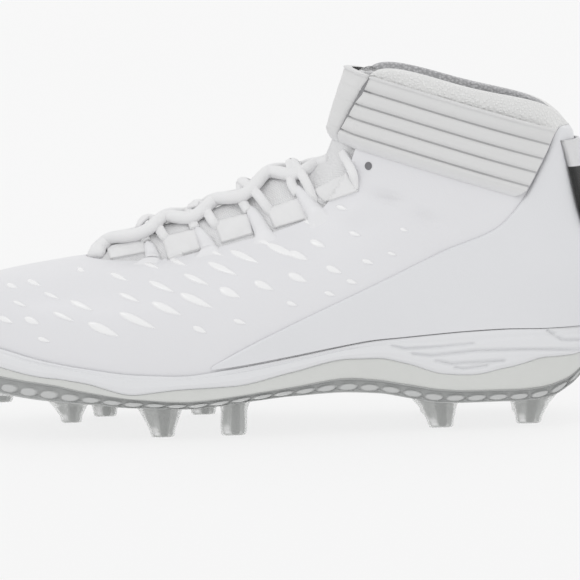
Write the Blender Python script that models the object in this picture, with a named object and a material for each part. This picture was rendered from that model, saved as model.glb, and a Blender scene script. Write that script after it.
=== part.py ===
"""American football cleat for the left foot, mid-cut, standing empty on its studs.

Metres, +Z up. The toe points to -X, the outer side of the foot is -Y, and the floor is z = 0.
The upper is a skin between two rings: the feather line, where it sits in the midsole, and the
edge of the throat and collar. A table of stations runs round each ring, and everything that
lies on the shoe is laid out on that same skin.
"""

import math
from collections import namedtuple

import bmesh
import bpy
import numpy as np
from mathutils import Vector
from mathutils.bvhtree import BVHTree

# Driving sizes of the shoe
LENGTH = 0.2985
BALL_WIDTH = 0.104
HEEL_WIDTH = 0.076
VAMP_HEIGHT = 0.0770
INSTEP_HEIGHT = 0.113
COLLAR_HEIGHT = 0.1565
HEEL_HEIGHT = 0.129
BITE_HEIGHT = 0.0435
STUD_HEIGHT = 0.012

# Walls, thicknesses and clearances
UPPER_WALL = 0.0022
COLLAR_PAD = 0.0046
SIDEWALL = 0.0016
PLATE = 0.0028
PLATE_STEP = 0.0009
MIDSOLE_RIM = 0.0014
RIM_DEPTH = 0.0030
SOLE_TUCK = 0.0060
INSOLE = 0.0040
OVERLAY = 0.0009
TONGUE = 0.0042
TONGUE_UNDERLAP = 0.09
STRAP = 0.0020
STRAP_WIDTH = 0.0300
STRAP_GROOVE = 0.0006
GROOVE_WIDTH = 0.0014
LACE = 0.0044
LOOP_ROOT_WIDTH = 0.0090
LOOP_TIP_WIDTH = 0.0052
LOOP_THICKNESS = 0.0016
TAB_WIDTH = 0.0370
TAB_THICKNESS = 0.0018
TAB_STAND_OFF = 0.0020
TAB_BOTTOM = 0.589 * HEEL_HEIGHT
TAB_TOP = 0.965 * HEEL_HEIGHT
GAP = 0.0003
SEAT = 0.0005
PANEL_SEAT = 0.0010
STRAP_SEAT = 0.0022
TONGUE_SEAT = 0.0009
TAB_SEAT = 0.0011
LACE_SEAT = 0.0012

# How finely the skin is divided
STEPS_PER_STATION = 2
SKIN_ROWS = 9
SOLE_LANES = 5
STUD_SIDES = 10
PANEL_ROWS = 6
TAB_STEPS = 8
TAB_LANES = 8

# Plan of the sole at the bite line: along as shares of LENGTH, half widths as shares of their width
Plan = namedtuple("Plan", "name along outer inner")
PLAN = (
    Plan("toe tip", 0.000, -0.085 * BALL_WIDTH, 0.085 * BALL_WIDTH),
    Plan("toe corner", 0.020, 0.110 * BALL_WIDTH, 0.275 * BALL_WIDTH),
    Plan("toe side", 0.062, 0.265 * BALL_WIDTH, 0.375 * BALL_WIDTH),
    Plan("little toe", 0.129, 0.385 * BALL_WIDTH, 0.445 * BALL_WIDTH),
    Plan("toe joint", 0.229, 0.463 * BALL_WIDTH, 0.487 * BALL_WIDTH),
    Plan("ball", 0.337, 0.500 * BALL_WIDTH, 0.500 * BALL_WIDTH),
    Plan("behind ball", 0.450, 0.493 * BALL_WIDTH, 0.448 * BALL_WIDTH),
    Plan("waist front", 0.564, 0.452 * BALL_WIDTH, 0.375 * BALL_WIDTH),
    Plan("waist", 0.665, 0.575 * HEEL_WIDTH, 0.467 * HEEL_WIDTH),
    Plan("waist back", 0.745, 0.548 * HEEL_WIDTH, 0.467 * HEEL_WIDTH),
    Plan("heel front", 0.812, 0.532 * HEEL_WIDTH, 0.487 * HEEL_WIDTH),
    Plan("heel side", 0.873, 0.500 * HEEL_WIDTH, 0.487 * HEEL_WIDTH),
    Plan("heel round", 0.927, 0.425 * HEEL_WIDTH, 0.421 * HEEL_WIDTH),
    Plan("heel corner", 0.970, 0.270 * HEEL_WIDTH, 0.270 * HEEL_WIDTH),
    Plan("heel back", 0.995, 0.000, 0.000),
)
STATIONS = len(PLAN) - 1

# Edge of the throat and collar, station by station, from the throat's front to the heel
Edge = namedtuple("Edge", "name along outer inner height")
EDGE = (
    Edge("throat front", 0.2265, -0.010 * BALL_WIDTH, 0.010 * BALL_WIDTH, 1.000 * VAMP_HEIGHT),
    Edge("throat corner", 0.2330, 0.062 * BALL_WIDTH, 0.078 * BALL_WIDTH, 0.998 * VAMP_HEIGHT),
    Edge("lace row 1", 0.2490, 0.112 * BALL_WIDTH, 0.122 * BALL_WIDTH, 0.992 * VAMP_HEIGHT),
    Edge("lace row 2", 0.2860, 0.156 * BALL_WIDTH, 0.160 * BALL_WIDTH, 0.985 * VAMP_HEIGHT),
    Edge("lace row 3", 0.3430, 0.192 * BALL_WIDTH, 0.192 * BALL_WIDTH, 0.992 * VAMP_HEIGHT),
    Edge("lace row 4", 0.404, 0.212 * BALL_WIDTH, 0.212 * BALL_WIDTH, 1.035 * VAMP_HEIGHT),
    Edge("lace row 5", 0.464, 0.226 * BALL_WIDTH, 0.226 * BALL_WIDTH, 0.745 * INSTEP_HEIGHT),
    Edge("lace row 6", 0.524, 0.322 * HEEL_WIDTH, 0.322 * HEEL_WIDTH, 0.788 * INSTEP_HEIGHT),
    Edge("instep", 0.578, 0.329 * HEEL_WIDTH, 0.329 * HEEL_WIDTH, 0.856 * INSTEP_HEIGHT),
    Edge("ankle bend", 0.618, 0.312 * HEEL_WIDTH, 0.312 * HEEL_WIDTH, 1.000 * INSTEP_HEIGHT),
    Edge("ankle front", 0.641, 0.290 * HEEL_WIDTH, 0.288 * HEEL_WIDTH, 0.868 * COLLAR_HEIGHT),
    Edge("collar front", 0.668, 0.326 * HEEL_WIDTH, 0.322 * HEEL_WIDTH, 1.000 * COLLAR_HEIGHT),
    Edge("collar side", 0.795, 0.420 * HEEL_WIDTH, 0.414 * HEEL_WIDTH, 0.950 * COLLAR_HEIGHT),
    Edge("collar back", 0.915, 0.257 * HEEL_WIDTH, 0.257 * HEEL_WIDTH, 0.890 * COLLAR_HEIGHT),
    Edge("heel top", 0.950, 0.000, 0.000, 1.000 * HEEL_HEIGHT),
)

# Bulge of the wall off the straight line from feather to edge, at a quarter, half and three quarters
# of its height: back and out and up, as shares of BALL_WIDTH in front and HEEL_WIDTH behind
Bulge = namedtuple("Bulge", "station back1 out1 up1 back2 out2 up2 back3 out3 up3")
BULGE = (
    Bulge(0.0, -0.119, 0.000, 0.060, -0.147, 0.000, 0.060, -0.097, 0.000, 0.033),
    Bulge(1.5, -0.106, 0.043, 0.062, -0.130, 0.058, 0.068, -0.080, 0.034, 0.042),
    Bulge(4.0, -0.030, 0.075, 0.048, -0.034, 0.101, 0.070, -0.016, 0.070, 0.062),
    Bulge(6.5, 0.000, 0.062, 0.026, 0.000, 0.082, 0.048, 0.000, 0.058, 0.042),
    Bulge(9.0, 0.000, 0.060, 0.000, 0.000, 0.086, 0.000, 0.000, 0.058, 0.000),
    Bulge(11.0, 0.000, 0.036, 0.000, 0.000, 0.026, 0.000, 0.000, 0.000, 0.000),
    Bulge(12.5, 0.060, 0.046, 0.000, 0.030, 0.010, 0.000, 0.008, -0.006, 0.000),
    Bulge(14.0, 0.048, 0.000, 0.000, 0.006, 0.000, 0.000, 0.000, 0.000, 0.000),
)

# Heights along the sole: along as shares of LENGTH, heights as shares of the named sizes
Side = namedtuple("Side", "along bottom plate_top foam bite")
SIDE = (
    Side(0.000, 0.72 * BITE_HEIGHT, 0.90 * BITE_HEIGHT, 0.98 * BITE_HEIGHT, 1.12 * BITE_HEIGHT),
    Side(0.050, 0.57 * BITE_HEIGHT, 0.76 * BITE_HEIGHT, 0.84 * BITE_HEIGHT, 1.01 * BITE_HEIGHT),
    Side(0.102, 0.46 * BITE_HEIGHT, 0.63 * BITE_HEIGHT, 0.72 * BITE_HEIGHT, 0.93 * BITE_HEIGHT),
    Side(0.169, 0.37 * BITE_HEIGHT, 0.52 * BITE_HEIGHT, 0.60 * BITE_HEIGHT, 0.81 * BITE_HEIGHT),
    Side(0.233, 0.31 * BITE_HEIGHT, 0.42 * BITE_HEIGHT, 0.55 * BITE_HEIGHT, 0.73 * BITE_HEIGHT),
    Side(0.300, 1.00 * STUD_HEIGHT, 0.35 * BITE_HEIGHT, 0.43 * BITE_HEIGHT, 0.67 * BITE_HEIGHT),
    Side(0.367, 1.00 * STUD_HEIGHT, 0.32 * BITE_HEIGHT, 0.47 * BITE_HEIGHT, 0.65 * BITE_HEIGHT),
    Side(0.447, 1.10 * STUD_HEIGHT, 0.37 * BITE_HEIGHT, 0.49 * BITE_HEIGHT, 0.71 * BITE_HEIGHT),
    Side(0.531, 1.27 * STUD_HEIGHT, 0.45 * BITE_HEIGHT, 0.61 * BITE_HEIGHT, 0.80 * BITE_HEIGHT),
    Side(0.615, 1.40 * STUD_HEIGHT, 0.53 * BITE_HEIGHT, 0.73 * BITE_HEIGHT, 0.90 * BITE_HEIGHT),
    Side(0.655, 1.38 * STUD_HEIGHT, 0.51 * BITE_HEIGHT, 0.73 * BITE_HEIGHT, 0.94 * BITE_HEIGHT),
    Side(0.698, 1.23 * STUD_HEIGHT, 0.46 * BITE_HEIGHT, 0.67 * BITE_HEIGHT, 0.96 * BITE_HEIGHT),
    Side(0.752, 1.02 * STUD_HEIGHT, 0.39 * BITE_HEIGHT, 0.55 * BITE_HEIGHT, 0.985 * BITE_HEIGHT),
    Side(0.790, 1.00 * STUD_HEIGHT, 0.37 * BITE_HEIGHT, 0.53 * BITE_HEIGHT, 1.00 * BITE_HEIGHT),
    Side(0.849, 1.00 * STUD_HEIGHT, 0.37 * BITE_HEIGHT, 0.61 * BITE_HEIGHT, 1.01 * BITE_HEIGHT),
    Side(0.905, 1.12 * STUD_HEIGHT, 0.42 * BITE_HEIGHT, 0.71 * BITE_HEIGHT, 1.00 * BITE_HEIGHT),
    Side(0.938, 1.52 * STUD_HEIGHT, 0.49 * BITE_HEIGHT, 0.71 * BITE_HEIGHT, 1.00 * BITE_HEIGHT),
    Side(0.968, 2.10 * STUD_HEIGHT, 0.63 * BITE_HEIGHT, 0.74 * BITE_HEIGHT, 1.00 * BITE_HEIGHT),
    Side(1.000, 2.30 * STUD_HEIGHT, 0.68 * BITE_HEIGHT, 0.77 * BITE_HEIGHT, 1.00 * BITE_HEIGHT),
)

# Studs: along as a share of LENGTH, side -1 outer or +1 inner, inset from the sole's edge,
# lengths along the shoe at root and tip, the tip's shift, and its height off the floor
Stud = namedtuple("Stud", "name along side inset root tip lean floor")
STUDS = (
    Stud("toe outer", 0.100, -1, 0.085 * BALL_WIDTH, 0.062, 0.034, 0.000, 1.25),
    Stud("toe inner", 0.100, 1, 0.110 * BALL_WIDTH, 0.062, 0.034, 0.000, 1.25),
    Stud("front outer", 0.203, -1, 0.085 * BALL_WIDTH, 0.060, 0.030, 0.002, 0.55),
    Stud("front inner", 0.165, 1, 0.085 * BALL_WIDTH, 0.060, 0.030, 0.002, 0.72),
    Stud("ball inner", 0.246, 1, 0.085 * BALL_WIDTH, 0.060, 0.034, 0.000, 0.00),
    Stud("ball outer", 0.336, -1, 0.085 * BALL_WIDTH, 0.069, 0.034, 0.003, 0.00),
    Stud("rear ball inner", 0.395, 1, 0.085 * BALL_WIDTH, 0.060, 0.036, 0.000, 0.00),
    Stud("rear ball outer", 0.445, -1, 0.085 * BALL_WIDTH, 0.046, 0.036, -0.002, 0.00),
    Stud("heel front outer", 0.742, -1, 0.120 * HEEL_WIDTH, 0.066, 0.036, 0.006, 0.00),
    Stud("heel front inner", 0.735, 1, 0.120 * HEEL_WIDTH, 0.066, 0.036, 0.006, 0.00),
    Stud("heel back outer", 0.884, -1, 0.150 * HEEL_WIDTH, 0.066, 0.036, -0.006, 0.00),
    Stud("heel back inner", 0.884, 1, 0.150 * HEEL_WIDTH, 0.066, 0.036, -0.006, 0.00),
)
STUD_ROOT_WIDTH = 0.0125
STUD_TIP_WIDTH = 0.0065
STUD_FLARE = 1.18

# Diagonal seam of the heel panel, seen from the side: along and height
Seam = namedtuple("Seam", "along height")
SEAM = (
    Seam(0.395, 0.67 * BITE_HEIGHT),
    Seam(0.465, 0.92 * BITE_HEIGHT),
    Seam(0.534, 0.438 * INSTEP_HEIGHT),
    Seam(0.645, 0.566 * INSTEP_HEIGHT),
    Seam(0.758, 0.699 * INSTEP_HEIGHT),
    Seam(0.834, 0.779 * INSTEP_HEIGHT),
    Seam(0.874, 0.885 * INSTEP_HEIGHT),
    Seam(0.905, 0.895 * HEEL_HEIGHT),
    Seam(0.936, 1.012 * HEEL_HEIGHT),
    Seam(1.000, 0.990 * HEEL_HEIGHT),
)

# Centre line of the tongue's outer face, by station of the throat
Crown = namedtuple("Crown", "station along height")
CROWN = (
    Crown(1.0, 0.248, 0.975 * VAMP_HEIGHT),
    Crown(2.0, 0.266, 1.045 * VAMP_HEIGHT),
    Crown(3.0, 0.296, 1.092 * VAMP_HEIGHT),
    Crown(4.0, 0.340, 1.160 * VAMP_HEIGHT),
    Crown(5.0, 0.390, 0.832 * INSTEP_HEIGHT),
    Crown(6.0, 0.446, 0.884 * INSTEP_HEIGHT),
    Crown(7.0, 0.503, 0.958 * INSTEP_HEIGHT),
    Crown(8.0, 0.553, 0.998 * INSTEP_HEIGHT),
    Crown(9.0, 0.588, 1.060 * INSTEP_HEIGHT),
    Crown(10.0, 0.608, 0.865 * COLLAR_HEIGHT),
    Crown(11.0, 0.631, 0.992 * COLLAR_HEIGHT),
)
TONGUE_ROWS = (0.6, 1.0, 1.5, 2.0, 3.0, 4.0, 5.0, 6.0, 7.0, 8.0, 8.5, 9.0, 9.5, 10.0, 10.5, 10.9)
TONGUE_LANES = 10

# Ankle straps: they meet at a slit on the front of the ankle and run back to the heel panel
STRAP_TOP_FRONT = 0.657 * LENGTH
STRAP_TOP_HEIGHT = 0.998 * COLLAR_HEIGHT
STRAP_SLOPE = math.radians(17.6)
STRAP_GROOVES = (0.19, 0.41, 0.63, 0.85)
STRAP_STEPS = 20
STRAP_CROWDING = 1.35
STRAP_TAPER = 0.78
ANKLE_AXIS = 0.775 * LENGTH
ANKLE_REACH = 0.12
RING_DIRECTIONS = 144
RING_TOP = 0.0065
SLIT_TOP = math.radians(27)
SLIT_BOTTOM = math.radians(11)
SLIT_HALF = math.radians(2.4)
STRAP_BACK_FIRST = math.radians(100)
STRAP_BACK_LAST = math.radians(178)
STRAP_BACK_GAP = 0.0032

# Lace: rows of loops as stations of the throat, and how far the loops reach onto the tongue
LOOP_ROOTS = (3.75, 5.15, 6.50, 7.85)
LOOP_TIPS = (3.55, 4.95, 6.35, 7.65)
LOOP_FOOT = 0.93
LOOP_REACH = 0.56
LACE_FRONT = 1.3
LACE_END = 8.9
LACE_LANE = 0.74
LACE_SIDES = 2


def natural_spline(knots, values, at):
    """Cubic spline with no bend at its ends, through rows of values at the knots."""
    knots = np.asarray(knots, float)
    values = np.asarray(values, float)
    at = np.atleast_1d(np.asarray(at, float))
    steps = np.diff(knots)
    count = len(knots)
    matrix = np.eye(count)
    right = np.zeros_like(values)
    slopes = np.diff(values, axis=0) / steps[:, None]
    for row in range(1, count - 1):
        matrix[row, row - 1] = steps[row - 1]
        matrix[row, row] = 2 * (steps[row - 1] + steps[row])
        matrix[row, row + 1] = steps[row]
        right[row] = 6 * (slopes[row] - slopes[row - 1])
    bends = np.linalg.solve(matrix, right)
    cell = np.clip(np.searchsorted(knots, at) - 1, 0, count - 2)
    span = steps[cell][:, None]
    ahead = (knots[cell + 1] - at)[:, None] / span
    behind = 1 - ahead
    curve = ahead * values[cell] + behind * values[cell + 1]
    curve += ((ahead**3 - ahead) * bends[cell] + (behind**3 - behind) * bends[cell + 1]) * span**2 / 6
    return curve


def steady_curve(knots, values, at):
    """Cubic through the knots that never overshoots them."""
    knots = np.asarray(knots, float)
    values = np.asarray(values, float)
    at = np.clip(np.asarray(at, float), knots[0], knots[-1])
    steps = np.diff(knots)
    slopes = np.diff(values) / steps
    lean = np.zeros_like(values)
    lean[0] = slopes[0]
    lean[-1] = slopes[-1]
    same = slopes[1:] * slopes[:-1] > 0
    total = np.where(same, slopes[1:] + slopes[:-1], 1.0)
    lean[1:-1] = np.where(same, 2 * slopes[1:] * slopes[:-1] / total, 0.0)
    cell = np.clip(np.searchsorted(knots, at) - 1, 0, len(steps) - 1)
    span = steps[cell]
    part = (at - knots[cell]) / span
    before = values[cell] * (1 + 2 * part) * (1 - part) ** 2 + lean[cell] * span * part * (1 - part) ** 2
    after = values[cell + 1] * part**2 * (3 - 2 * part) - lean[cell + 1] * span * part**2 * (1 - part)
    return before + after


def ring_rows(table, height=None):
    """Rows right round the shoe: outer side from toe to heel, then the inner side back to the toe."""
    outer = [(row.along * LENGTH, -row.outer, height(row) if height else 0.0) for row in table]
    inner = [(row.along * LENGTH, row.inner, height(row) if height else 0.0) for row in table]
    return outer + inner[-2:0:-1]


def around(rows, at):
    """Closed smooth curve through the ring's rows, at stations counted round the shoe."""
    count = len(rows)
    wrap = 4
    padded = rows[-wrap:] + rows + rows[:wrap]
    knots = np.arange(-wrap, count + wrap)
    return natural_spline(knots, padded, np.mod(at, count))


PLAN_RING = ring_rows(PLAN)
EDGE_RING = ring_rows(EDGE, lambda row: row.height)
RING_COUNT = len(PLAN_RING)


def side_height(name, along):
    """Height of one line of the sole's side at a place along the shoe, in metres."""
    shares = [row.along * LENGTH for row in SIDE]
    return steady_curve(shares, [getattr(row, name) for row in SIDE], along)


def plan_loop(at, inset=0.0):
    """Points of the sole's outline at these stations, moved in by the inset, with z left at zero."""
    step = 0.02
    points = around(PLAN_RING, at)
    ahead = around(PLAN_RING, np.asarray(at) + step)
    behind = around(PLAN_RING, np.asarray(at) - step)
    run = ahead - behind
    run /= np.linalg.norm(run, axis=1)[:, None]
    inward = np.stack([-run[:, 1], run[:, 0], np.zeros(len(run))], axis=1)
    return points + inward * inset


def side_of(at):
    """Station counted from the toe on whichever side, and -1 on the outer or +1 on the inner side."""
    at = np.mod(np.asarray(at, float), RING_COUNT)
    inner = at > STATIONS
    return np.where(inner, RING_COUNT - at, at), np.where(inner, 1.0, -1.0)


def width_here(along):
    """BALL_WIDTH in front, HEEL_WIDTH behind, and a smooth change between them."""
    part = np.clip((along / LENGTH - 0.45) / 0.30, 0, 1)
    blend = part * part * (3 - 2 * part)
    return BALL_WIDTH * (1 - blend) + HEEL_WIDTH * blend


def skin(at, up):
    """Outer face of the upper at stations round the shoe and shares of the way up, 0 to 1."""
    at = np.atleast_1d(np.asarray(at, float))
    up = np.atleast_1d(np.asarray(up, float))
    foot = plan_loop(at, MIDSOLE_RIM + GAP)
    foot[:, 2] = side_height("bite", plan_loop(at)[:, 0]) - RIM_DEPTH
    edge = around(EDGE_RING, at)
    station, side = side_of(at)
    knots = [row.station for row in BULGE]
    bulges = natural_spline(knots, [row[1:] for row in BULGE], station)
    width = width_here(foot[:, 0])[:, None]
    levels = [foot]
    for number in range(3):
        share = (number + 1) / 4
        back, out, rise = (bulges[:, 3 * number + part] for part in range(3))
        shift = np.stack([back, out * side, rise], axis=1) * width
        levels.append(foot + (edge - foot) * share + shift)
    levels.append(edge)
    levels = np.array(levels)
    result = np.empty((len(at), len(up), 3))
    for column in range(len(at)):
        result[column] = natural_spline([0, 0.25, 0.5, 0.75, 1], levels[:, column], up)
    return result


def outward(at, up):
    """Unit direction out of the upper's outer face at each point of the grid."""
    step_at = 0.05
    step_up = 0.01
    across = skin(np.asarray(at) + step_at, up) - skin(np.asarray(at) - step_at, up)
    upward = skin(at, np.asarray(up) + step_up) - skin(at, np.asarray(up) - step_up)
    normal = np.cross(across, upward)
    return normal / np.linalg.norm(normal, axis=2)[:, :, None]


def wall_here(at, up):
    """Wall of the upper: thin over the foot, padded round the collar."""
    station, _ = side_of(at)
    ankle = np.clip((station - 8.0) / 2.5, 0, 1)[:, None]
    high = np.clip((np.asarray(up)[None, :] - 0.70) / 0.22, 0, 1)
    high = high * high * (3 - 2 * high)
    return UPPER_WALL + (COLLAR_PAD - UPPER_WALL) * ankle * high


def offset_skin(at, up, distance):
    """The skin moved outwards by a distance, or inwards by a negative one."""
    return skin(at, up) + outward(at, up) * np.asarray(distance)[..., None]


def new_object(name, mesh, material, collection):
    """Object of this mesh in a collection, shaded smooth apart from its sharp edges."""
    item = bpy.data.objects.new(name, mesh)
    collection.objects.link(item)
    if material:
        mesh.materials.append(material)
    mesh.shade_smooth()
    mesh.set_sharp_from_angle(angle=math.radians(40))
    return item


def new_material(name, colour, roughness, transmission=0.0):
    material = bpy.data.materials.new(name)
    material.use_nodes = True
    shader = material.node_tree.nodes["Principled BSDF"]
    shader.inputs["Base Color"].default_value = (*colour, 1.0)
    shader.inputs["Roughness"].default_value = roughness
    shader.inputs["Metallic"].default_value = 0.0
    shader.inputs["Transmission Weight"].default_value = transmission
    return material


def finish_mesh(bm, name):
    """Mesh of a closed bmesh, with its faces turned to point out."""
    bmesh.ops.recalc_face_normals(bm, faces=bm.faces)
    mesh = bpy.data.meshes.new(name)
    bm.to_mesh(mesh)
    bm.free()
    return mesh


def add_loop(bm, points):
    return [bm.verts.new(Vector(point)) for point in points]


def bridge(bm, first, second, closed=True):
    """Faces between two rows of the same length."""
    count = len(first)
    for number in range(count if closed else count - 1):
        after = (number + 1) % count
        bm.faces.new((first[number], first[after], second[after], second[number]))


def ladder_cap(bm, loop, height_at):
    """Closes a loop round the shoe with strips across it, from toe to heel."""
    half = len(loop) // 2
    rungs = []
    for number in range(1, half):
        left = loop[number]
        right = loop[-number]
        rung = [left]
        for lane in range(1, SOLE_LANES):
            place = left.co.lerp(right.co, lane / SOLE_LANES)
            place.z = height_at(place, left.co.z)
            rung.append(bm.verts.new(place))
        rung.append(right)
        rungs.append(rung)
    for first, second in zip(rungs, rungs[1:]):
        bridge(bm, first, second, closed=False)
    for tip, rung in ((loop[0], rungs[0]), (loop[half], rungs[-1])):
        for left, right in zip(rung, rung[1:]):
            bm.faces.new((tip, left, right))


def ring_stations():
    return np.arange(RING_COUNT * STEPS_PER_STATION) / STEPS_PER_STATION


def sole_loop(inset, height):
    """Loop round the sole, at a height that depends on the outline's place along the shoe."""
    at = ring_stations()
    outline = plan_loop(at)
    points = plan_loop(at, inset)
    points[:, 2] = height(outline[:, 0])
    return points


def rim_loop(height):
    """Loop just outside the upper where it rises out of the midsole's rim."""
    at = ring_stations()
    foot = skin(at, [0.0])[:, 0]
    rise = around(EDGE_RING, at)[:, 2] - foot[:, 2]
    points = np.empty_like(foot)
    for column, station in enumerate(at):
        share = 0.8 * RIM_DEPTH / rise[column]
        points[column] = offset_skin([station], [share], np.array([[SEAT]]))[0, 0]
    points[:, 2] = height(plan_loop(at)[:, 0])
    return points


def sole_solid(name, profile, material, collection, dish=0.0):
    """Closed solid from loops round the sole, with a flat cap below and a dished cap above."""
    bm = bmesh.new()
    loops = []
    for inset, height in profile:
        points = rim_loop(height) if inset == "rim" else sole_loop(inset, height)
        loops.append(add_loop(bm, points))
    for lower, upper in zip(loops, loops[1:]):
        bridge(bm, lower, upper)
    ladder_cap(bm, loops[0], lambda place, edge: edge)
    ladder_cap(bm, loops[-1], lambda place, edge: edge - dish)
    return new_object(name, finish_mesh(bm, name), material, collection)


def line(name, lift=0.0):
    """Height function of one line of the sole's side, raised by a distance."""
    return lambda along: side_height(name, along) + lift


def between(low, high, share):
    """Height function a share of the way from one line of the sole's side to another."""
    return lambda along: side_height(low, along) * (1 - share) + side_height(high, along) * share


def stud_mesh(stud):
    """Blade stud as rings from its root inside the plate to its flat tip."""
    along = stud.along * LENGTH
    at = side_station_of_plan(along, stud.side)
    edge = plan_loop([at])[0]
    across = edge[1] - stud.side * (stud.inset + STUD_ROOT_WIDTH / 2)
    bottom = float(side_height("bottom", along))
    tip_height = stud.floor * STUD_HEIGHT
    inside = bottom + PLATE / 2
    rows = (
        (inside, stud.root, STUD_ROOT_WIDTH * 0.92, 0.0),
        (bottom - 0.0008, stud.root, STUD_ROOT_WIDTH, 0.0),
        (bottom * 0.72 + tip_height * 0.28, stud.root / STUD_FLARE, STUD_ROOT_WIDTH / STUD_FLARE, 0.35),
        (tip_height + 0.0012, stud.tip * 1.08, STUD_TIP_WIDTH * 1.12, 0.95),
        (tip_height, stud.tip, STUD_TIP_WIDTH * 0.94, 1.0),
    )
    bm = bmesh.new()
    loops = []
    for height, long, wide, shift in rows:
        points = []
        for number in range(STUD_SIDES):
            angle = 2 * math.pi * (number + 0.5) / STUD_SIDES
            ahead, aside = math.cos(angle), math.sin(angle)
            round_x = math.copysign(abs(ahead) ** 0.6, ahead) * long * LENGTH / 2
            round_y = math.copysign(abs(aside) ** 0.6, aside) * wide / 2
            points.append((along + shift * stud.lean * LENGTH + round_x, across + round_y, height))
        loops.append(add_loop(bm, points))
    for lower, upper in zip(loops, loops[1:]):
        bridge(bm, lower, upper)
    bm.faces.new(loops[0])
    bm.faces.new(loops[-1])
    bmesh.ops.recalc_face_normals(bm, faces=bm.faces)
    return bm


def side_station_of_plan(along, side):
    """Station of the sole's outline at this place along the shoe."""
    low, high = 0.0, float(STATIONS)
    for _ in range(40):
        middle = (low + high) / 2
        if plan_loop([middle])[0, 0] < along:
            low = middle
        else:
            high = middle
    return middle if side < 0 else RING_COUNT - middle


def make_outsole(material, collection, helpers):
    """Moulded plate with its raised sidewall, one solid with its studs."""
    wall_inset = SIDEWALL
    profile = (
        (SOLE_TUCK, line("bottom")),
        (0.0022, line("bottom", 0.0009)),
        (-PLATE_STEP * 0.4, between("bottom", "plate_top", 0.45)),
        (-PLATE_STEP, line("plate_top", -0.0004)),
        (0.0, line("plate_top", 0.0006)),
        (0.0, line("foam", -0.0004)),
        (wall_inset * 0.4, line("foam")),
        (wall_inset, line("foam", -0.0002)),
        (wall_inset + 0.0008, line("bottom", PLATE + 0.0012)),
        (wall_inset + 0.0028, line("bottom", PLATE)),
    )
    plate = sole_solid("outsole", profile, material, collection)
    cutter = bpy.data.meshes.new("stud_blanks")
    joined = bmesh.new()
    for stud in STUDS:
        single = stud_mesh(stud)
        piece = bpy.data.meshes.new("stud_piece")
        single.to_mesh(piece)
        single.free()
        joined.from_mesh(piece)
        bpy.data.meshes.remove(piece)
    joined.to_mesh(cutter)
    joined.free()
    blanks = bpy.data.objects.new("stud_blanks", cutter)
    blanks.hide_render = True
    blanks.display_type = "WIRE"
    helpers.objects.link(blanks)
    union = plate.modifiers.new("studs", "BOOLEAN")
    union.operation = "UNION"
    union.object = blanks
    return plate


def make_midsole(material, collection):
    """Foam that sits in the plate's tray, steps out over its sidewall and carries the upper in a rim."""
    tray = SIDEWALL + GAP
    profile = (
        (tray + 0.0034, line("bottom", PLATE + GAP)),
        (tray + 0.0009, line("bottom", PLATE + GAP + 0.0014)),
        (tray, line("foam", GAP)),
        (0.0001, line("foam", GAP)),
        (-0.0011, between("foam", "bite", 0.35)),
        (-0.0007, between("foam", "bite", 0.72)),
        (0.0004, between("foam", "bite", 0.78)),
        (0.0001, between("foam", "bite", 0.84)),
        (0.0006, line("bite")),
        ("rim", line("bite", -0.0004)),
        (MIDSOLE_RIM, line("bite", -RIM_DEPTH - GAP)),
        (MIDSOLE_RIM + UPPER_WALL + 2 * GAP, line("bite", -RIM_DEPTH - GAP)),
    )
    return sole_solid("midsole", profile, material, collection, dish=0.0006)


def make_insole(material, collection):
    """Sockliner on the midsole, inside the upper's lower edge."""
    inset = MIDSOLE_RIM + UPPER_WALL + 4 * GAP + 0.0008
    floor = -RIM_DEPTH
    profile = (
        (inset + 0.0008, line("bite", floor + GAP)),
        (inset, line("bite", floor + GAP + 0.0010)),
        (inset + 0.0004, line("bite", floor + GAP + INSOLE - 0.0010)),
        (inset + 0.0014, line("bite", floor + GAP + INSOLE)),
    )
    return sole_solid("insole", profile, material, collection, dish=0.0012)


def skin_rows():
    """Shares of the height for the rows of the skin, closer together at its foot and edge."""
    even = np.linspace(0, 1, SKIN_ROWS)
    return even * 0.72 + 0.28 * (0.5 - 0.5 * np.cos(math.pi * even))


def make_upper(material, collection):
    """One hollow shell, open at throat and collar and underneath."""
    at = ring_stations()
    up = skin_rows()
    outer = skin(at, up)
    inner = offset_skin(at, up, -wall_here(at, up))
    inner[:, 0, 2] = outer[:, 0, 2]
    bm = bmesh.new()
    outer_rows = [add_loop(bm, outer[:, row]) for row in range(SKIN_ROWS)]
    inner_rows = [add_loop(bm, inner[:, row]) for row in range(SKIN_ROWS)]
    for lower, upper in zip(outer_rows, outer_rows[1:]):
        bridge(bm, lower, upper)
    for lower, upper in zip(inner_rows, inner_rows[1:]):
        bridge(bm, upper, lower)
    bridge(bm, inner_rows[0], outer_rows[0])
    bridge(bm, outer_rows[-1], inner_rows[-1])
    return new_object("upper", finish_mesh(bm, "upper"), material, collection)


def slab(name, lower, upper, material, collection):
    """Closed sheet between two grids of points, which may narrow to a point at their ends."""
    bm = bmesh.new()
    rows, columns = lower.shape[:2]
    below = [add_loop(bm, lower[row]) for row in range(rows)]
    above = [add_loop(bm, upper[row]) for row in range(rows)]
    for grid in (below, above):
        for first, second in zip(grid, grid[1:]):
            bridge(bm, first, second, closed=False)
    bridge(bm, below[0], above[0], closed=False)
    bridge(bm, below[-1], above[-1], closed=False)
    bridge(bm, [row[0] for row in below], [row[0] for row in above], closed=False)
    bridge(bm, [row[-1] for row in below], [row[-1] for row in above], closed=False)
    return new_object(name, finish_mesh(bm, name), material, collection)


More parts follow.
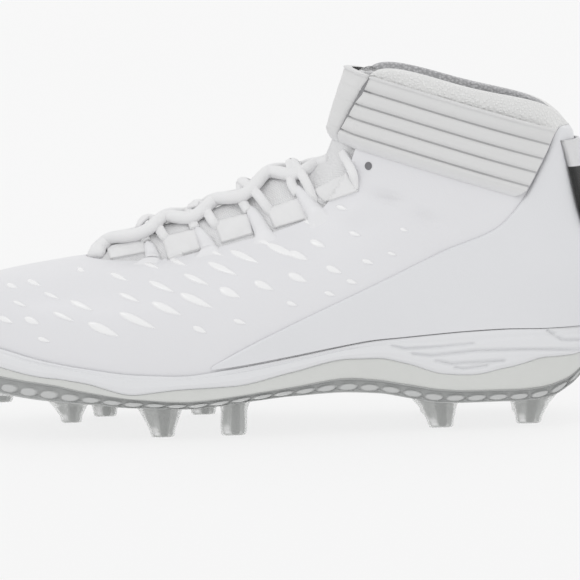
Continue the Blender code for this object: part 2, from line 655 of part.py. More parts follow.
def tongue_face(rows, lanes):
    """Outer face of the tongue: rows by station of the throat, lanes 0 to 4 from outer lap to inner lap."""
    rows = np.asarray(rows, float)
    crown = natural_spline([row.station for row in CROWN], [row[1:] for row in CROWN], rows)
    lap_up = 1 - TONGUE_UNDERLAP
    grid = np.empty((len(rows), len(lanes), 3))
    for number, station in enumerate(rows):
        points = []
        for at, order in ((station, (lap_up, 1.0)), (RING_COUNT - station, (1.0, lap_up))):
            up = np.array(order)
            under = -(wall_here([at], up) + TONGUE_SEAT)
            points.extend(offset_skin([at], up, under)[0])
        middle = np.array([crown[number, 0] * LENGTH, (points[1][1] + points[2][1]) / 2, crown[number, 1]])
        points.insert(2, middle)
        if station < CROWN[0].station:
            spread = (station, station / 2, 0.0, -station / 2, -station)
            under = np.full((5, 1), -(UPPER_WALL + TONGUE_SEAT))
            points = offset_skin(spread, [lap_up], under)[:, 0]
        lengths = np.linalg.norm(np.diff(points, axis=0), axis=1)
        knots = np.concatenate([[0.0], np.cumsum(lengths)])
        grid[number] = natural_spline(knots, points, np.interp(lanes, np.arange(5), knots))
    return grid


def grid_normals(grid):
    """Unit directions out of a grid of points."""
    normal = np.cross(np.gradient(grid, axis=0), np.gradient(grid, axis=1))
    return normal / np.linalg.norm(normal, axis=2)[:, :, None]


def make_tongue(material, collection):
    """Padded tongue whose sides run under the edges of the throat."""
    lanes = np.linspace(0, 4, TONGUE_LANES + 1)
    outer = tongue_face(TONGUE_ROWS, lanes)
    normal = grid_normals(outer)
    pad = np.full(outer.shape[:2], TONGUE)
    pad[0] *= 0.4
    pad[1] *= 0.7
    pad[:, 0] *= 0.4
    pad[:, -1] *= 0.4
    inner = outer - normal * pad[:, :, None]
    return slab("tongue", inner, outer, material, collection)


def tongue_point(station, lane, lift):
    """Point above the tongue's outer face."""
    step = 0.05
    near = tongue_face([station - step, station, station + step], [lane - step, lane, lane + step])
    normal = grid_normals(near)[1, 1]
    return near[1, 1] + normal * lift


def make_heel_panel(material, collection):
    """Smooth overlay round the rear quarter and heel, bounded above by the diagonal seam."""
    seam_along = [row.along * LENGTH for row in SEAM]
    seam_height = [row.height for row in SEAM]
    columns = []
    for at in ring_stations():
        foot = skin([at], [0.0])[0, 0]
        rise = around(EDGE_RING, [at])[0, 2] - foot[2]
        low = (RIM_DEPTH + GAP) / rise
        if skin([at], [low])[0, 0, 0] < seam_along[0] + 0.004:
            continue
        below, above = low, 1.0
        for _ in range(24):
            middle = (below + above) / 2
            point = skin([at], [middle])[0, 0]
            if point[2] < steady_curve(seam_along, seam_height, point[0]):
                below = middle
            else:
                above = middle
        if below - low > 0.02:
            columns.append((at, low, below))
    rows = np.linspace(0, 1, PANEL_ROWS)
    lower = np.empty((len(columns), PANEL_ROWS, 3))
    upper = np.empty_like(lower)
    for number, (at, low, high) in enumerate(columns):
        up = low + (high - low) * rows
        lower[number] = offset_skin([at], up, np.full((1, PANEL_ROWS), PANEL_SEAT))[0]
        upper[number] = offset_skin([at], up, np.full((1, PANEL_ROWS), PANEL_SEAT + OVERLAY))[0]
    return slab("heel_panel", lower, upper, material, collection)


def outer_tree(items):
    """Search tree over the outer faces of several pieces."""
    points = []
    faces = []
    for item in items:
        start = len(points)
        points.extend(item.matrix_world @ vert.co for vert in item.data.vertices)
        faces.extend([start + index for index in face.vertices] for face in item.data.polygons)
    return BVHTree.FromPolygons(points, faces)


def strap_frame(down):
    """Centre of the ankle in the strap's plane, this far below its top edge, and the plane's axes."""
    back = np.array([math.cos(STRAP_SLOPE), 0.0, -math.sin(STRAP_SLOPE)])
    up = np.array([math.sin(STRAP_SLOPE), 0.0, math.cos(STRAP_SLOPE)])
    drop = (ANKLE_AXIS - STRAP_TOP_FRONT) * math.tan(STRAP_SLOPE)
    centre = np.array([ANKLE_AXIS, 0.0, STRAP_TOP_HEIGHT - drop]) - up * down
    return centre, back


def ring_support(tree, down):
    """Reach of the ankle in every direction of the strap's plane, as a stretched band would feel it."""
    centre, back = strap_frame(max(down, RING_TOP))
    angles = np.arange(RING_DIRECTIONS) * 2 * math.pi / RING_DIRECTIONS
    flat = np.stack([-np.cos(angles), -np.sin(angles)], axis=1)
    found = []
    for ahead, aside in flat:
        direction = Vector(back * ahead + np.array([0.0, aside, 0.0]))
        hit = tree.ray_cast(Vector(centre) + direction * ANKLE_REACH, -direction, ANKLE_REACH)
        if hit[0] is not None:
            found.append(np.array([ahead, aside]) * (ANKLE_REACH - hit[3]))
    return flat, (np.array(found) @ flat.T).max(axis=0)


def ring_reach(flat, support, angle, lift):
    """Distance from the centre to the stretched band at an angle, counted from the front."""
    direction = np.array([-math.cos(angle), -math.sin(angle)])
    facing = flat @ direction
    ahead = facing > 0.2
    return ((support[ahead] + lift) / facing[ahead]).min()


def strap_end(centre, back, flat, support):
    """Angle at which the strap's row comes up to the edge of the heel panel."""
    seam_along = [row.along * LENGTH for row in SEAM]
    seam_height = [row.height for row in SEAM]
    low, high = STRAP_BACK_FIRST, STRAP_BACK_LAST
    for _ in range(30):
        middle = (low + high) / 2
        reach = ring_reach(flat, support, middle, STRAP_SEAT)
        point = centre - back * math.cos(middle) * reach
        if point[2] > steady_curve(seam_along, seam_height, point[0]) + STRAP_BACK_GAP:
            low = middle
        else:
            high = middle
    return low


def strap_rows():
    """Shares of the strap's width and the depth of each row, with a groove at each named share."""
    half = GROOVE_WIDTH / 2 / STRAP_WIDTH
    rows = [(0.0, STRAP_GROOVE), (0.03, 0.0)]
    for share in STRAP_GROOVES:
        rows += [(share - half, 0.0), (share, STRAP_GROOVE), (share + half, 0.0)]
    return rows + [(0.975, 0.0), (1.0, STRAP_GROOVE)]


def make_strap(name, tree, side, material, collection):
    """Band round one side of the ankle, thinner towards the heel panel, which covers its end."""
    rows = strap_rows()
    lower = np.empty((STRAP_STEPS + 1, len(rows), 3))
    upper = np.empty_like(lower)
    for row, (share, sink) in enumerate(rows):
        down = share * STRAP_WIDTH
        centre, back = strap_frame(down)
        flat, support = ring_support(tree, down)
        slit = SLIT_TOP + (SLIT_BOTTOM - SLIT_TOP) * share
        front = -side * slit + SLIT_HALF * (0.15 + math.sin(math.pi * share))
        end = strap_end(centre, back, flat, support)
        for step in range(STRAP_STEPS + 1):
            part = (step / STRAP_STEPS) ** STRAP_CROWDING
            angle = front + (end - front) * part
            thin = np.clip((part - STRAP_TAPER) / (1 - STRAP_TAPER), 0, 1)
            thick = STRAP + (OVERLAY - STRAP) * thin - sink * (1 - thin * 0.5)
            direction = -back * math.cos(angle) + np.array([0.0, side * math.sin(angle), 0.0])
            turned = angle if side < 0 else -angle
            lower[step, row] = centre + direction * ring_reach(flat, support, turned, STRAP_SEAT)
            upper[step, row] = centre + direction * ring_reach(flat, support, turned, STRAP_SEAT + thick)
    return slab(name, lower, upper, material, collection)


def make_loops(material, collection):
    """Finger loops from the edge of the throat towards the lace, a row of them on each side."""
    for side, word in ((-1, "outer"), (1, "inner")):
        for number, (root, tip) in enumerate(zip(LOOP_ROOTS, LOOP_TIPS)):
            run = np.linalg.norm(around(EDGE_RING, root + 0.5) - around(EDGE_RING, root - 0.5))
            lower, upper = [], []
            for part in (-1.0, 0.0, 1.0):
                low, high = [], []
                foot = root + part * LOOP_ROOT_WIDTH / 2 / run
                at = foot if side < 0 else RING_COUNT - foot
                for up in (LOOP_FOOT, 1.0):
                    low.append(offset_skin([at], [up], np.array([[SEAT]]))[0, 0])
                    high.append(offset_skin([at], [up], np.array([[SEAT + LOOP_THICKNESS]]))[0, 0])
                for share, step_up in ((0.22, 1.0), (0.50, 0.45), (1.0, 0.0)):
                    width = LOOP_ROOT_WIDTH + (LOOP_TIP_WIDTH - LOOP_ROOT_WIDTH) * share
                    here = root + (tip - root) * share + part * width / 2 / run
                    lane = 1.0 + LOOP_REACH * share
                    if side > 0:
                        lane = 4.0 - lane
                    lift = SEAT + (UPPER_WALL + TONGUE_SEAT) * step_up
                    low.append(tongue_point(here, lane, lift))
                    high.append(tongue_point(here, lane, lift + LOOP_THICKNESS))
                lower.append(low)
                upper.append(high)
            name = f"lace_loop_{word}_{number + 1}"
            slab(name, np.array(lower), np.array(upper), material, collection)


def tube(name, points, diameter, collection):
    """Round cord through points, as a closed mesh."""
    curve = bpy.data.curves.new(name, "CURVE")
    curve.dimensions = "3D"
    curve.bevel_depth = diameter / 2
    curve.bevel_resolution = LACE_SIDES
    curve.use_fill_caps = True
    spline = curve.splines.new("POLY")
    spline.points.add(len(points) - 1)
    for point, place in zip(spline.points, points):
        point.co = (*place, 1.0)
    item = bpy.data.objects.new(name, curve)
    collection.objects.link(item)
    graph = bpy.context.evaluated_depsgraph_get()
    mesh = bpy.data.meshes.new_from_object(item.evaluated_get(graph))
    bm = bmesh.new()
    bm.from_mesh(mesh)
    bmesh.ops.remove_doubles(bm, verts=bm.verts, dist=0.00001)
    bmesh.ops.recalc_face_normals(bm, faces=bm.faces)
    bm.to_mesh(mesh)
    bm.free()
    bpy.data.objects.remove(item, do_unlink=True)
    return mesh


def lace_route(stops):
    """Smooth route over the tongue through stops, each a station and a lane of the tongue."""
    lift = LACE / 2 + LACE_SEAT
    knots = np.arange(len(stops))
    fine = np.linspace(0, len(stops) - 1, (len(stops) - 1) * 4 + 1)
    places = natural_spline(knots, stops, fine)
    return [tongue_point(station, lane, lift) for station, lane in places]


def make_lace(material, collection, helpers):
    """Crossings of the lace over the tongue, joined into one solid."""
    lanes = (1.0 + LACE_LANE, 3.0 - LACE_LANE)
    rows = (LACE_FRONT, *LOOP_TIPS, LACE_END)
    strands = []
    for first in (0, 1):
        stops = [(station, lanes[(first + number) % 2]) for number, station in enumerate(rows)]
        strands.append(lace_route(stops))
    strands.append(lace_route([(rows[0], lanes[0] - 0.02), (rows[0], 2.0), (rows[0], lanes[1] + 0.02)]))
    item = new_object("lace", tube("lace", strands[0], LACE, helpers), material, collection)
    for number, strand in enumerate(strands[1:]):
        mesh = tube(f"lace_blank_{number}", strand, LACE, helpers)
        blank = bpy.data.objects.new(f"lace_blank_{number}", mesh)
        blank.hide_render = True
        blank.display_type = "WIRE"
        helpers.objects.link(blank)
        union = item.modifiers.new(f"strand_{number}", "BOOLEAN")
        union.operation = "UNION"
        union.object = blank
    return item


def make_heel_tab(tree, material, collection):
    """Woven pull loop that stands off the back of the heel between its two sewn ends."""
    shares = np.linspace(0, 1, TAB_STEPS + 1)
    columns = np.linspace(-TAB_WIDTH / 2, TAB_WIDTH / 2, TAB_LANES + 1)
    lower = np.empty((len(shares), len(columns), 3))
    upper = np.empty_like(lower)
    for row, share in enumerate(shares):
        height = TAB_BOTTOM + (TAB_TOP - TAB_BOTTOM) * share
        stand = TAB_STAND_OFF * math.sin(math.pi * share) ** 0.7 + TAB_SEAT
        for column, aside in enumerate(columns):
            hit = tree.ray_cast(Vector((LENGTH * 1.2, aside, height)), Vector((-1, 0, 0)))
            lower[row, column] = (hit[0].x + stand, aside, height)
            upper[row, column] = (hit[0].x + stand + TAB_THICKNESS, aside, height)
    return slab("heel_tab", lower, upper, material, collection)


def stand_on_floor(parts, helpers):
    """Moves everything so that the shoe's box is centred on the origin and its studs stand at zero."""
    bpy.context.view_layer.update()
    graph = bpy.context.evaluated_depsgraph_get()
    corners = []
    for item in parts.objects:
        solid = item.evaluated_get(graph)
        corners.extend(solid.matrix_world @ Vector(corner) for corner in solid.bound_box)
    corners = np.array(corners)
    low, high = corners.min(axis=0), corners.max(axis=0)
    shift = Vector((-(low[0] + high[0]) / 2, -(low[1] + high[1]) / 2, -low[2]))
    for item in [*parts.objects, *helpers.objects]:
        item.location = item.location + shift
    return shift


def main():
    for item in list(bpy.data.objects):
        bpy.data.objects.remove(item, do_unlink=True)
    parts = bpy.data.collections.new("football_cleat")
    helpers = bpy.data.collections.new("helpers")
    bpy.context.scene.collection.children.link(parts)
    bpy.context.scene.collection.children.link(helpers)

    clear = new_material("clear_plate", (0.52, 0.53, 0.52), 0.25, 0.35)
    foam = new_material("white_foam", (0.78, 0.79, 0.80), 0.55)
    liner = new_material("liner_fabric", (0.62, 0.62, 0.63), 0.9)
    synthetic = new_material("white_synthetic", (0.78, 0.78, 0.80), 0.42)
    smooth_synthetic = new_material("smooth_synthetic", (0.80, 0.80, 0.82), 0.38)
    knit = new_material("white_knit", (0.76, 0.76, 0.77), 0.85)
    band = new_material("strap_band", (0.72, 0.72, 0.72), 0.6)
    lace = new_material("white_lace", (0.80, 0.80, 0.81), 0.8)
    webbing = new_material("heel_webbing", (0.02, 0.02, 0.02), 0.8)

    make_outsole(clear, parts, helpers)
    make_midsole(foam, parts)
    make_insole(liner, parts)
    upper = make_upper(synthetic, parts)
    tongue = make_tongue(knit, parts)
    panel = make_heel_panel(smooth_synthetic, parts)
    tree = outer_tree([upper, tongue])
    make_strap("ankle_strap_outer", tree, -1, band, parts)
    make_strap("ankle_strap_inner", tree, 1, band, parts)
    make_loops(synthetic, parts)
    make_lace(lace, parts, helpers)
    make_heel_tab(outer_tree([upper, panel]), webbing, parts)
    return stand_on_floor(parts, helpers)


SHIFT = main()
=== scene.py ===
"""Looks of the american football cleat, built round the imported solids.

The skin functions repeat those of the part's source at a higher resolution. Places read from the
photograph are given as its pixels and cast onto the surface that carries them.
"""

import math
from collections import namedtuple

import bmesh
import bpy
import numpy as np
from mathutils import Matrix, Vector
from mathutils.bvhtree import BVHTree
from mathutils.kdtree import KDTree


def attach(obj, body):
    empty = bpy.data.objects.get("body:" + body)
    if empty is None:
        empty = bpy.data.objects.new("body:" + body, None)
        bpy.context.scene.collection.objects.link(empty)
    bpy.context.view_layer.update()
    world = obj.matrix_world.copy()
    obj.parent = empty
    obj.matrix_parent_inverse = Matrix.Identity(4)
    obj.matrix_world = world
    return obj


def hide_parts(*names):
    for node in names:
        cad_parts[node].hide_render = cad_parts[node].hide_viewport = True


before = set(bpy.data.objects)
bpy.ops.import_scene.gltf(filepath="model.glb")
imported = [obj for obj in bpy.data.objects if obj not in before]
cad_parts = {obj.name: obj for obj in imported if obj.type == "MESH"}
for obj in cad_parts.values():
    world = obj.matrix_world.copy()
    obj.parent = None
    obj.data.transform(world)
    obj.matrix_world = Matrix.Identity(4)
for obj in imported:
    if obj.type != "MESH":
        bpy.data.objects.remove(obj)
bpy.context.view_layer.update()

# Driving sizes of the shoe
LENGTH = 0.2985
BALL_WIDTH = 0.104
HEEL_WIDTH = 0.076
VAMP_HEIGHT = 0.0770
INSTEP_HEIGHT = 0.113
COLLAR_HEIGHT = 0.1565
HEEL_HEIGHT = 0.129
BITE_HEIGHT = 0.0435
STUD_HEIGHT = 0.012

# Walls, thicknesses and clearances
UPPER_WALL = 0.0022
COLLAR_PAD = 0.0046
SIDEWALL = 0.0016
PLATE = 0.0028
PLATE_STEP = 0.0009
MIDSOLE_RIM = 0.0014
RIM_DEPTH = 0.0030
OVERLAY = 0.0009
TONGUE = 0.0042
TONGUE_UNDERLAP = 0.09
STRAP = 0.0020
STRAP_WIDTH = 0.0300
LACE = 0.0044
LOOP_ROOT_WIDTH = 0.0090
LOOP_TIP_WIDTH = 0.0052
LOOP_THICKNESS = 0.0016
TAB_WIDTH = 0.0370
TAB_THICKNESS = 0.0018
TAB_STAND_OFF = 0.0020
TAB_BOTTOM = 0.589 * HEEL_HEIGHT
TAB_TOP = 0.965 * HEEL_HEIGHT
GAP = 0.0003
SEAT = 0.0005
PANEL_SEAT = 0.0010
STRAP_SEAT = 0.0022
TONGUE_SEAT = 0.0009

# Plan of the sole at the bite line: along as shares of LENGTH, half widths as shares of their width
Plan = namedtuple("Plan", "name along outer inner")
PLAN = (
    Plan("toe tip", 0.000, -0.085 * BALL_WIDTH, 0.085 * BALL_WIDTH),
    Plan("toe corner", 0.020, 0.110 * BALL_WIDTH, 0.275 * BALL_WIDTH),
    Plan("toe side", 0.062, 0.265 * BALL_WIDTH, 0.375 * BALL_WIDTH),
    Plan("little toe", 0.129, 0.385 * BALL_WIDTH, 0.445 * BALL_WIDTH),
    Plan("toe joint", 0.229, 0.463 * BALL_WIDTH, 0.487 * BALL_WIDTH),
    Plan("ball", 0.337, 0.500 * BALL_WIDTH, 0.500 * BALL_WIDTH),
    Plan("behind ball", 0.450, 0.493 * BALL_WIDTH, 0.448 * BALL_WIDTH),
    Plan("waist front", 0.564, 0.452 * BALL_WIDTH, 0.375 * BALL_WIDTH),
    Plan("waist", 0.665, 0.575 * HEEL_WIDTH, 0.467 * HEEL_WIDTH),
    Plan("waist back", 0.745, 0.548 * HEEL_WIDTH, 0.467 * HEEL_WIDTH),
    Plan("heel front", 0.812, 0.532 * HEEL_WIDTH, 0.487 * HEEL_WIDTH),
    Plan("heel side", 0.873, 0.500 * HEEL_WIDTH, 0.487 * HEEL_WIDTH),
    Plan("heel round", 0.927, 0.425 * HEEL_WIDTH, 0.421 * HEEL_WIDTH),
    Plan("heel corner", 0.970, 0.270 * HEEL_WIDTH, 0.270 * HEEL_WIDTH),
    Plan("heel back", 0.995, 0.000, 0.000),
)
STATIONS = len(PLAN) - 1

# Edge of the throat and collar, station by station, from the throat's front to the heel
Edge = namedtuple("Edge", "name along outer inner height")
EDGE = (
    Edge("throat front", 0.2265, -0.010 * BALL_WIDTH, 0.010 * BALL_WIDTH, 1.000 * VAMP_HEIGHT),
    Edge("throat corner", 0.2330, 0.062 * BALL_WIDTH, 0.078 * BALL_WIDTH, 0.998 * VAMP_HEIGHT),
    Edge("lace row 1", 0.2490, 0.112 * BALL_WIDTH, 0.122 * BALL_WIDTH, 0.992 * VAMP_HEIGHT),
    Edge("lace row 2", 0.2860, 0.156 * BALL_WIDTH, 0.160 * BALL_WIDTH, 0.985 * VAMP_HEIGHT),
    Edge("lace row 3", 0.3430, 0.192 * BALL_WIDTH, 0.192 * BALL_WIDTH, 0.992 * VAMP_HEIGHT),
    Edge("lace row 4", 0.404, 0.212 * BALL_WIDTH, 0.212 * BALL_WIDTH, 1.035 * VAMP_HEIGHT),
    Edge("lace row 5", 0.464, 0.226 * BALL_WIDTH, 0.226 * BALL_WIDTH, 0.745 * INSTEP_HEIGHT),
    Edge("lace row 6", 0.524, 0.322 * HEEL_WIDTH, 0.322 * HEEL_WIDTH, 0.788 * INSTEP_HEIGHT),
    Edge("instep", 0.578, 0.329 * HEEL_WIDTH, 0.329 * HEEL_WIDTH, 0.856 * INSTEP_HEIGHT),
    Edge("ankle bend", 0.618, 0.312 * HEEL_WIDTH, 0.312 * HEEL_WIDTH, 1.000 * INSTEP_HEIGHT),
    Edge("ankle front", 0.641, 0.290 * HEEL_WIDTH, 0.288 * HEEL_WIDTH, 0.868 * COLLAR_HEIGHT),
    Edge("collar front", 0.668, 0.326 * HEEL_WIDTH, 0.322 * HEEL_WIDTH, 1.000 * COLLAR_HEIGHT),
    Edge("collar side", 0.795, 0.420 * HEEL_WIDTH, 0.414 * HEEL_WIDTH, 0.950 * COLLAR_HEIGHT),
    Edge("collar back", 0.915, 0.257 * HEEL_WIDTH, 0.257 * HEEL_WIDTH, 0.890 * COLLAR_HEIGHT),
    Edge("heel top", 0.950, 0.000, 0.000, 1.000 * HEEL_HEIGHT),
)

# Bulge of the wall off the straight line from feather to edge, at a quarter, half and three quarters
# of its height: back and out and up, as shares of BALL_WIDTH in front and HEEL_WIDTH behind
Bulge = namedtuple("Bulge", "station back1 out1 up1 back2 out2 up2 back3 out3 up3")
BULGE = (
    Bulge(0.0, -0.119, 0.000, 0.060, -0.147, 0.000, 0.060, -0.097, 0.000, 0.033),
    Bulge(1.5, -0.106, 0.043, 0.062, -0.130, 0.058, 0.068, -0.080, 0.034, 0.042),
    Bulge(4.0, -0.030, 0.075, 0.048, -0.034, 0.101, 0.070, -0.016, 0.070, 0.062),
    Bulge(6.5, 0.000, 0.062, 0.026, 0.000, 0.082, 0.048, 0.000, 0.058, 0.042),
    Bulge(9.0, 0.000, 0.060, 0.000, 0.000, 0.086, 0.000, 0.000, 0.058, 0.000),
    Bulge(11.0, 0.000, 0.036, 0.000, 0.000, 0.026, 0.000, 0.000, 0.000, 0.000),
    Bulge(12.5, 0.060, 0.046, 0.000, 0.030, 0.010, 0.000, 0.008, -0.006, 0.000),
    Bulge(14.0, 0.048, 0.000, 0.000, 0.006, 0.000, 0.000, 0.000, 0.000, 0.000),
)

# Heights along the sole: along as shares of LENGTH, heights as shares of the named sizes
Side = namedtuple("Side", "along bottom plate_top foam bite")
SIDE = (
    Side(0.000, 0.72 * BITE_HEIGHT, 0.90 * BITE_HEIGHT, 0.98 * BITE_HEIGHT, 1.12 * BITE_HEIGHT),
    Side(0.050, 0.57 * BITE_HEIGHT, 0.76 * BITE_HEIGHT, 0.84 * BITE_HEIGHT, 1.01 * BITE_HEIGHT),
    Side(0.102, 0.46 * BITE_HEIGHT, 0.63 * BITE_HEIGHT, 0.72 * BITE_HEIGHT, 0.93 * BITE_HEIGHT),
    Side(0.169, 0.37 * BITE_HEIGHT, 0.52 * BITE_HEIGHT, 0.60 * BITE_HEIGHT, 0.81 * BITE_HEIGHT),
    Side(0.233, 0.31 * BITE_HEIGHT, 0.42 * BITE_HEIGHT, 0.55 * BITE_HEIGHT, 0.73 * BITE_HEIGHT),
    Side(0.300, 1.00 * STUD_HEIGHT, 0.35 * BITE_HEIGHT, 0.43 * BITE_HEIGHT, 0.67 * BITE_HEIGHT),
    Side(0.367, 1.00 * STUD_HEIGHT, 0.32 * BITE_HEIGHT, 0.47 * BITE_HEIGHT, 0.65 * BITE_HEIGHT),
    Side(0.447, 1.10 * STUD_HEIGHT, 0.37 * BITE_HEIGHT, 0.49 * BITE_HEIGHT, 0.71 * BITE_HEIGHT),
    Side(0.531, 1.27 * STUD_HEIGHT, 0.45 * BITE_HEIGHT, 0.61 * BITE_HEIGHT, 0.80 * BITE_HEIGHT),
    Side(0.615, 1.40 * STUD_HEIGHT, 0.53 * BITE_HEIGHT, 0.73 * BITE_HEIGHT, 0.90 * BITE_HEIGHT),
    Side(0.655, 1.38 * STUD_HEIGHT, 0.51 * BITE_HEIGHT, 0.73 * BITE_HEIGHT, 0.94 * BITE_HEIGHT),
    Side(0.698, 1.23 * STUD_HEIGHT, 0.46 * BITE_HEIGHT, 0.67 * BITE_HEIGHT, 0.96 * BITE_HEIGHT),
    Side(0.752, 1.02 * STUD_HEIGHT, 0.39 * BITE_HEIGHT, 0.55 * BITE_HEIGHT, 0.985 * BITE_HEIGHT),
    Side(0.790, 1.00 * STUD_HEIGHT, 0.37 * BITE_HEIGHT, 0.53 * BITE_HEIGHT, 1.00 * BITE_HEIGHT),
    Side(0.849, 1.00 * STUD_HEIGHT, 0.37 * BITE_HEIGHT, 0.61 * BITE_HEIGHT, 1.01 * BITE_HEIGHT),
    Side(0.905, 1.12 * STUD_HEIGHT, 0.42 * BITE_HEIGHT, 0.71 * BITE_HEIGHT, 1.00 * BITE_HEIGHT),
    Side(0.938, 1.52 * STUD_HEIGHT, 0.49 * BITE_HEIGHT, 0.71 * BITE_HEIGHT, 1.00 * BITE_HEIGHT),
    Side(0.968, 2.10 * STUD_HEIGHT, 0.63 * BITE_HEIGHT, 0.74 * BITE_HEIGHT, 1.00 * BITE_HEIGHT),
    Side(1.000, 2.30 * STUD_HEIGHT, 0.68 * BITE_HEIGHT, 0.77 * BITE_HEIGHT, 1.00 * BITE_HEIGHT),
)

# Studs: along as a share of LENGTH, side -1 outer or +1 inner, inset from the sole's edge,
# lengths along the shoe at root and tip, the tip's shift, and its height off the floor
Stud = namedtuple("Stud", "name along side inset root tip lean floor")
STUDS = (
    Stud("toe outer", 0.100, -1, 0.085 * BALL_WIDTH, 0.062, 0.034, 0.000, 1.25),
    Stud("toe inner", 0.100, 1, 0.110 * BALL_WIDTH, 0.062, 0.034, 0.000, 1.25),
    Stud("front outer", 0.203, -1, 0.085 * BALL_WIDTH, 0.060, 0.030, 0.002, 0.55),
    Stud("front inner", 0.165, 1, 0.085 * BALL_WIDTH, 0.060, 0.030, 0.002, 0.72),
    Stud("ball inner", 0.246, 1, 0.085 * BALL_WIDTH, 0.060, 0.034, 0.000, 0.00),
    Stud("ball outer", 0.336, -1, 0.085 * BALL_WIDTH, 0.069, 0.034, 0.003, 0.00),
    Stud("rear ball inner", 0.395, 1, 0.085 * BALL_WIDTH, 0.060, 0.036, 0.000, 0.00),
    Stud("rear ball outer", 0.445, -1, 0.085 * BALL_WIDTH, 0.046, 0.036, -0.002, 0.00),
    Stud("heel front outer", 0.742, -1, 0.120 * HEEL_WIDTH, 0.066, 0.036, 0.006, 0.00),
    Stud("heel front inner", 0.735, 1, 0.120 * HEEL_WIDTH, 0.066, 0.036, 0.006, 0.00),
    Stud("heel back outer", 0.884, -1, 0.150 * HEEL_WIDTH, 0.066, 0.036, -0.006, 0.00),
    Stud("heel back inner", 0.884, 1, 0.150 * HEEL_WIDTH, 0.066, 0.036, -0.006, 0.00),
)
STUD_ROOT_WIDTH = 0.0125
STUD_FLARE = 1.18

# Diagonal seam of the heel panel, seen from the side: along and height
Seam = namedtuple("Seam", "along height")
SEAM = (
    Seam(0.395, 0.67 * BITE_HEIGHT),
    Seam(0.465, 0.92 * BITE_HEIGHT),
    Seam(0.534, 0.438 * INSTEP_HEIGHT),
    Seam(0.645, 0.566 * INSTEP_HEIGHT),
    Seam(0.758, 0.699 * INSTEP_HEIGHT),
    Seam(0.834, 0.779 * INSTEP_HEIGHT),
    Seam(0.874, 0.885 * INSTEP_HEIGHT),
    Seam(0.905, 0.895 * HEEL_HEIGHT),
    Seam(0.936, 1.012 * HEEL_HEIGHT),
    Seam(1.000, 0.990 * HEEL_HEIGHT),
)

# Centre line of the tongue's outer face, by station of the throat
Crown = namedtuple("Crown", "station along height")
CROWN = (
    Crown(1.0, 0.248, 0.975 * VAMP_HEIGHT),
    Crown(2.0, 0.266, 1.045 * VAMP_HEIGHT),
    Crown(3.0, 0.296, 1.092 * VAMP_HEIGHT),
    Crown(4.0, 0.340, 1.160 * VAMP_HEIGHT),
    Crown(5.0, 0.390, 0.832 * INSTEP_HEIGHT),
    Crown(6.0, 0.446, 0.884 * INSTEP_HEIGHT),
    Crown(7.0, 0.503, 0.958 * INSTEP_HEIGHT),
    Crown(8.0, 0.553, 0.998 * INSTEP_HEIGHT),
    Crown(9.0, 0.588, 1.060 * INSTEP_HEIGHT),
    Crown(10.0, 0.608, 0.865 * COLLAR_HEIGHT),
    Crown(11.0, 0.631, 0.992 * COLLAR_HEIGHT),
)

# Ankle straps: they meet at a slit on the front of the ankle and run back to the heel panel
STRAP_TOP_FRONT = 0.657 * LENGTH
STRAP_TOP_HEIGHT = 0.998 * COLLAR_HEIGHT
STRAP_SLOPE = math.radians(17.6)
STRAP_TAPER = 0.78
ANKLE_AXIS = 0.775 * LENGTH
ANKLE_REACH = 0.12
RING_DIRECTIONS = 144
RING_TOP = 0.0065
SLIT_HALF = math.radians(2.4)
STRAP_BACK_FIRST = math.radians(100)
STRAP_BACK_LAST = math.radians(178)
STRAP_BACK_GAP = 0.0032

# Lace: rows of loops as stations of the throat, and how far the loops reach onto the tongue
LOOP_ROOTS = (3.75, 5.15, 6.50, 7.85)
LOOP_TIPS = (3.55, 4.95, 6.35, 7.65)
LOOP_REACH = 0.56
LACE_FRONT = 1.3
LACE_END = 8.9
LACE_LANE = 0.74


SPLINE_BENDS = {}


def spline_bends(knots):
    """Matrix that turns the values at these knots into the bends of the cubic through them."""
    key = knots.tobytes()
    if key not in SPLINE_BENDS:
        steps = np.diff(knots)
        count = len(knots)
        matrix = np.eye(count)
        right = np.zeros((count, count))
        for row in range(1, count - 1):
            matrix[row, row - 1] = steps[row - 1]
            matrix[row, row] = 2 * (steps[row - 1] + steps[row])
            matrix[row, row + 1] = steps[row]
            right[row, row - 1] = 6 / steps[row - 1]
            right[row, row] = -6 / steps[row - 1] - 6 / steps[row]
            right[row, row + 1] = 6 / steps[row]
        SPLINE_BENDS[key] = np.linalg.solve(matrix, right)
    return SPLINE_BENDS[key]


def natural_spline(knots, values, at):
    """Cubic spline with no bend at its ends, through rows of values at the knots."""
    knots = np.asarray(knots, float)
    values = np.asarray(values, float)
    at = np.atleast_1d(np.asarray(at, float))
    steps = np.diff(knots)
    bends = spline_bends(knots) @ values
    cell = np.clip(np.searchsorted(knots, at) - 1, 0, len(knots) - 2)
    span = steps[cell][:, None]
    ahead = (knots[cell + 1] - at)[:, None] / span
    behind = 1 - ahead
    curve = ahead * values[cell] + behind * values[cell + 1]
    curve += ((ahead**3 - ahead) * bends[cell] + (behind**3 - behind) * bends[cell + 1]) * span**2 / 6
    return curve


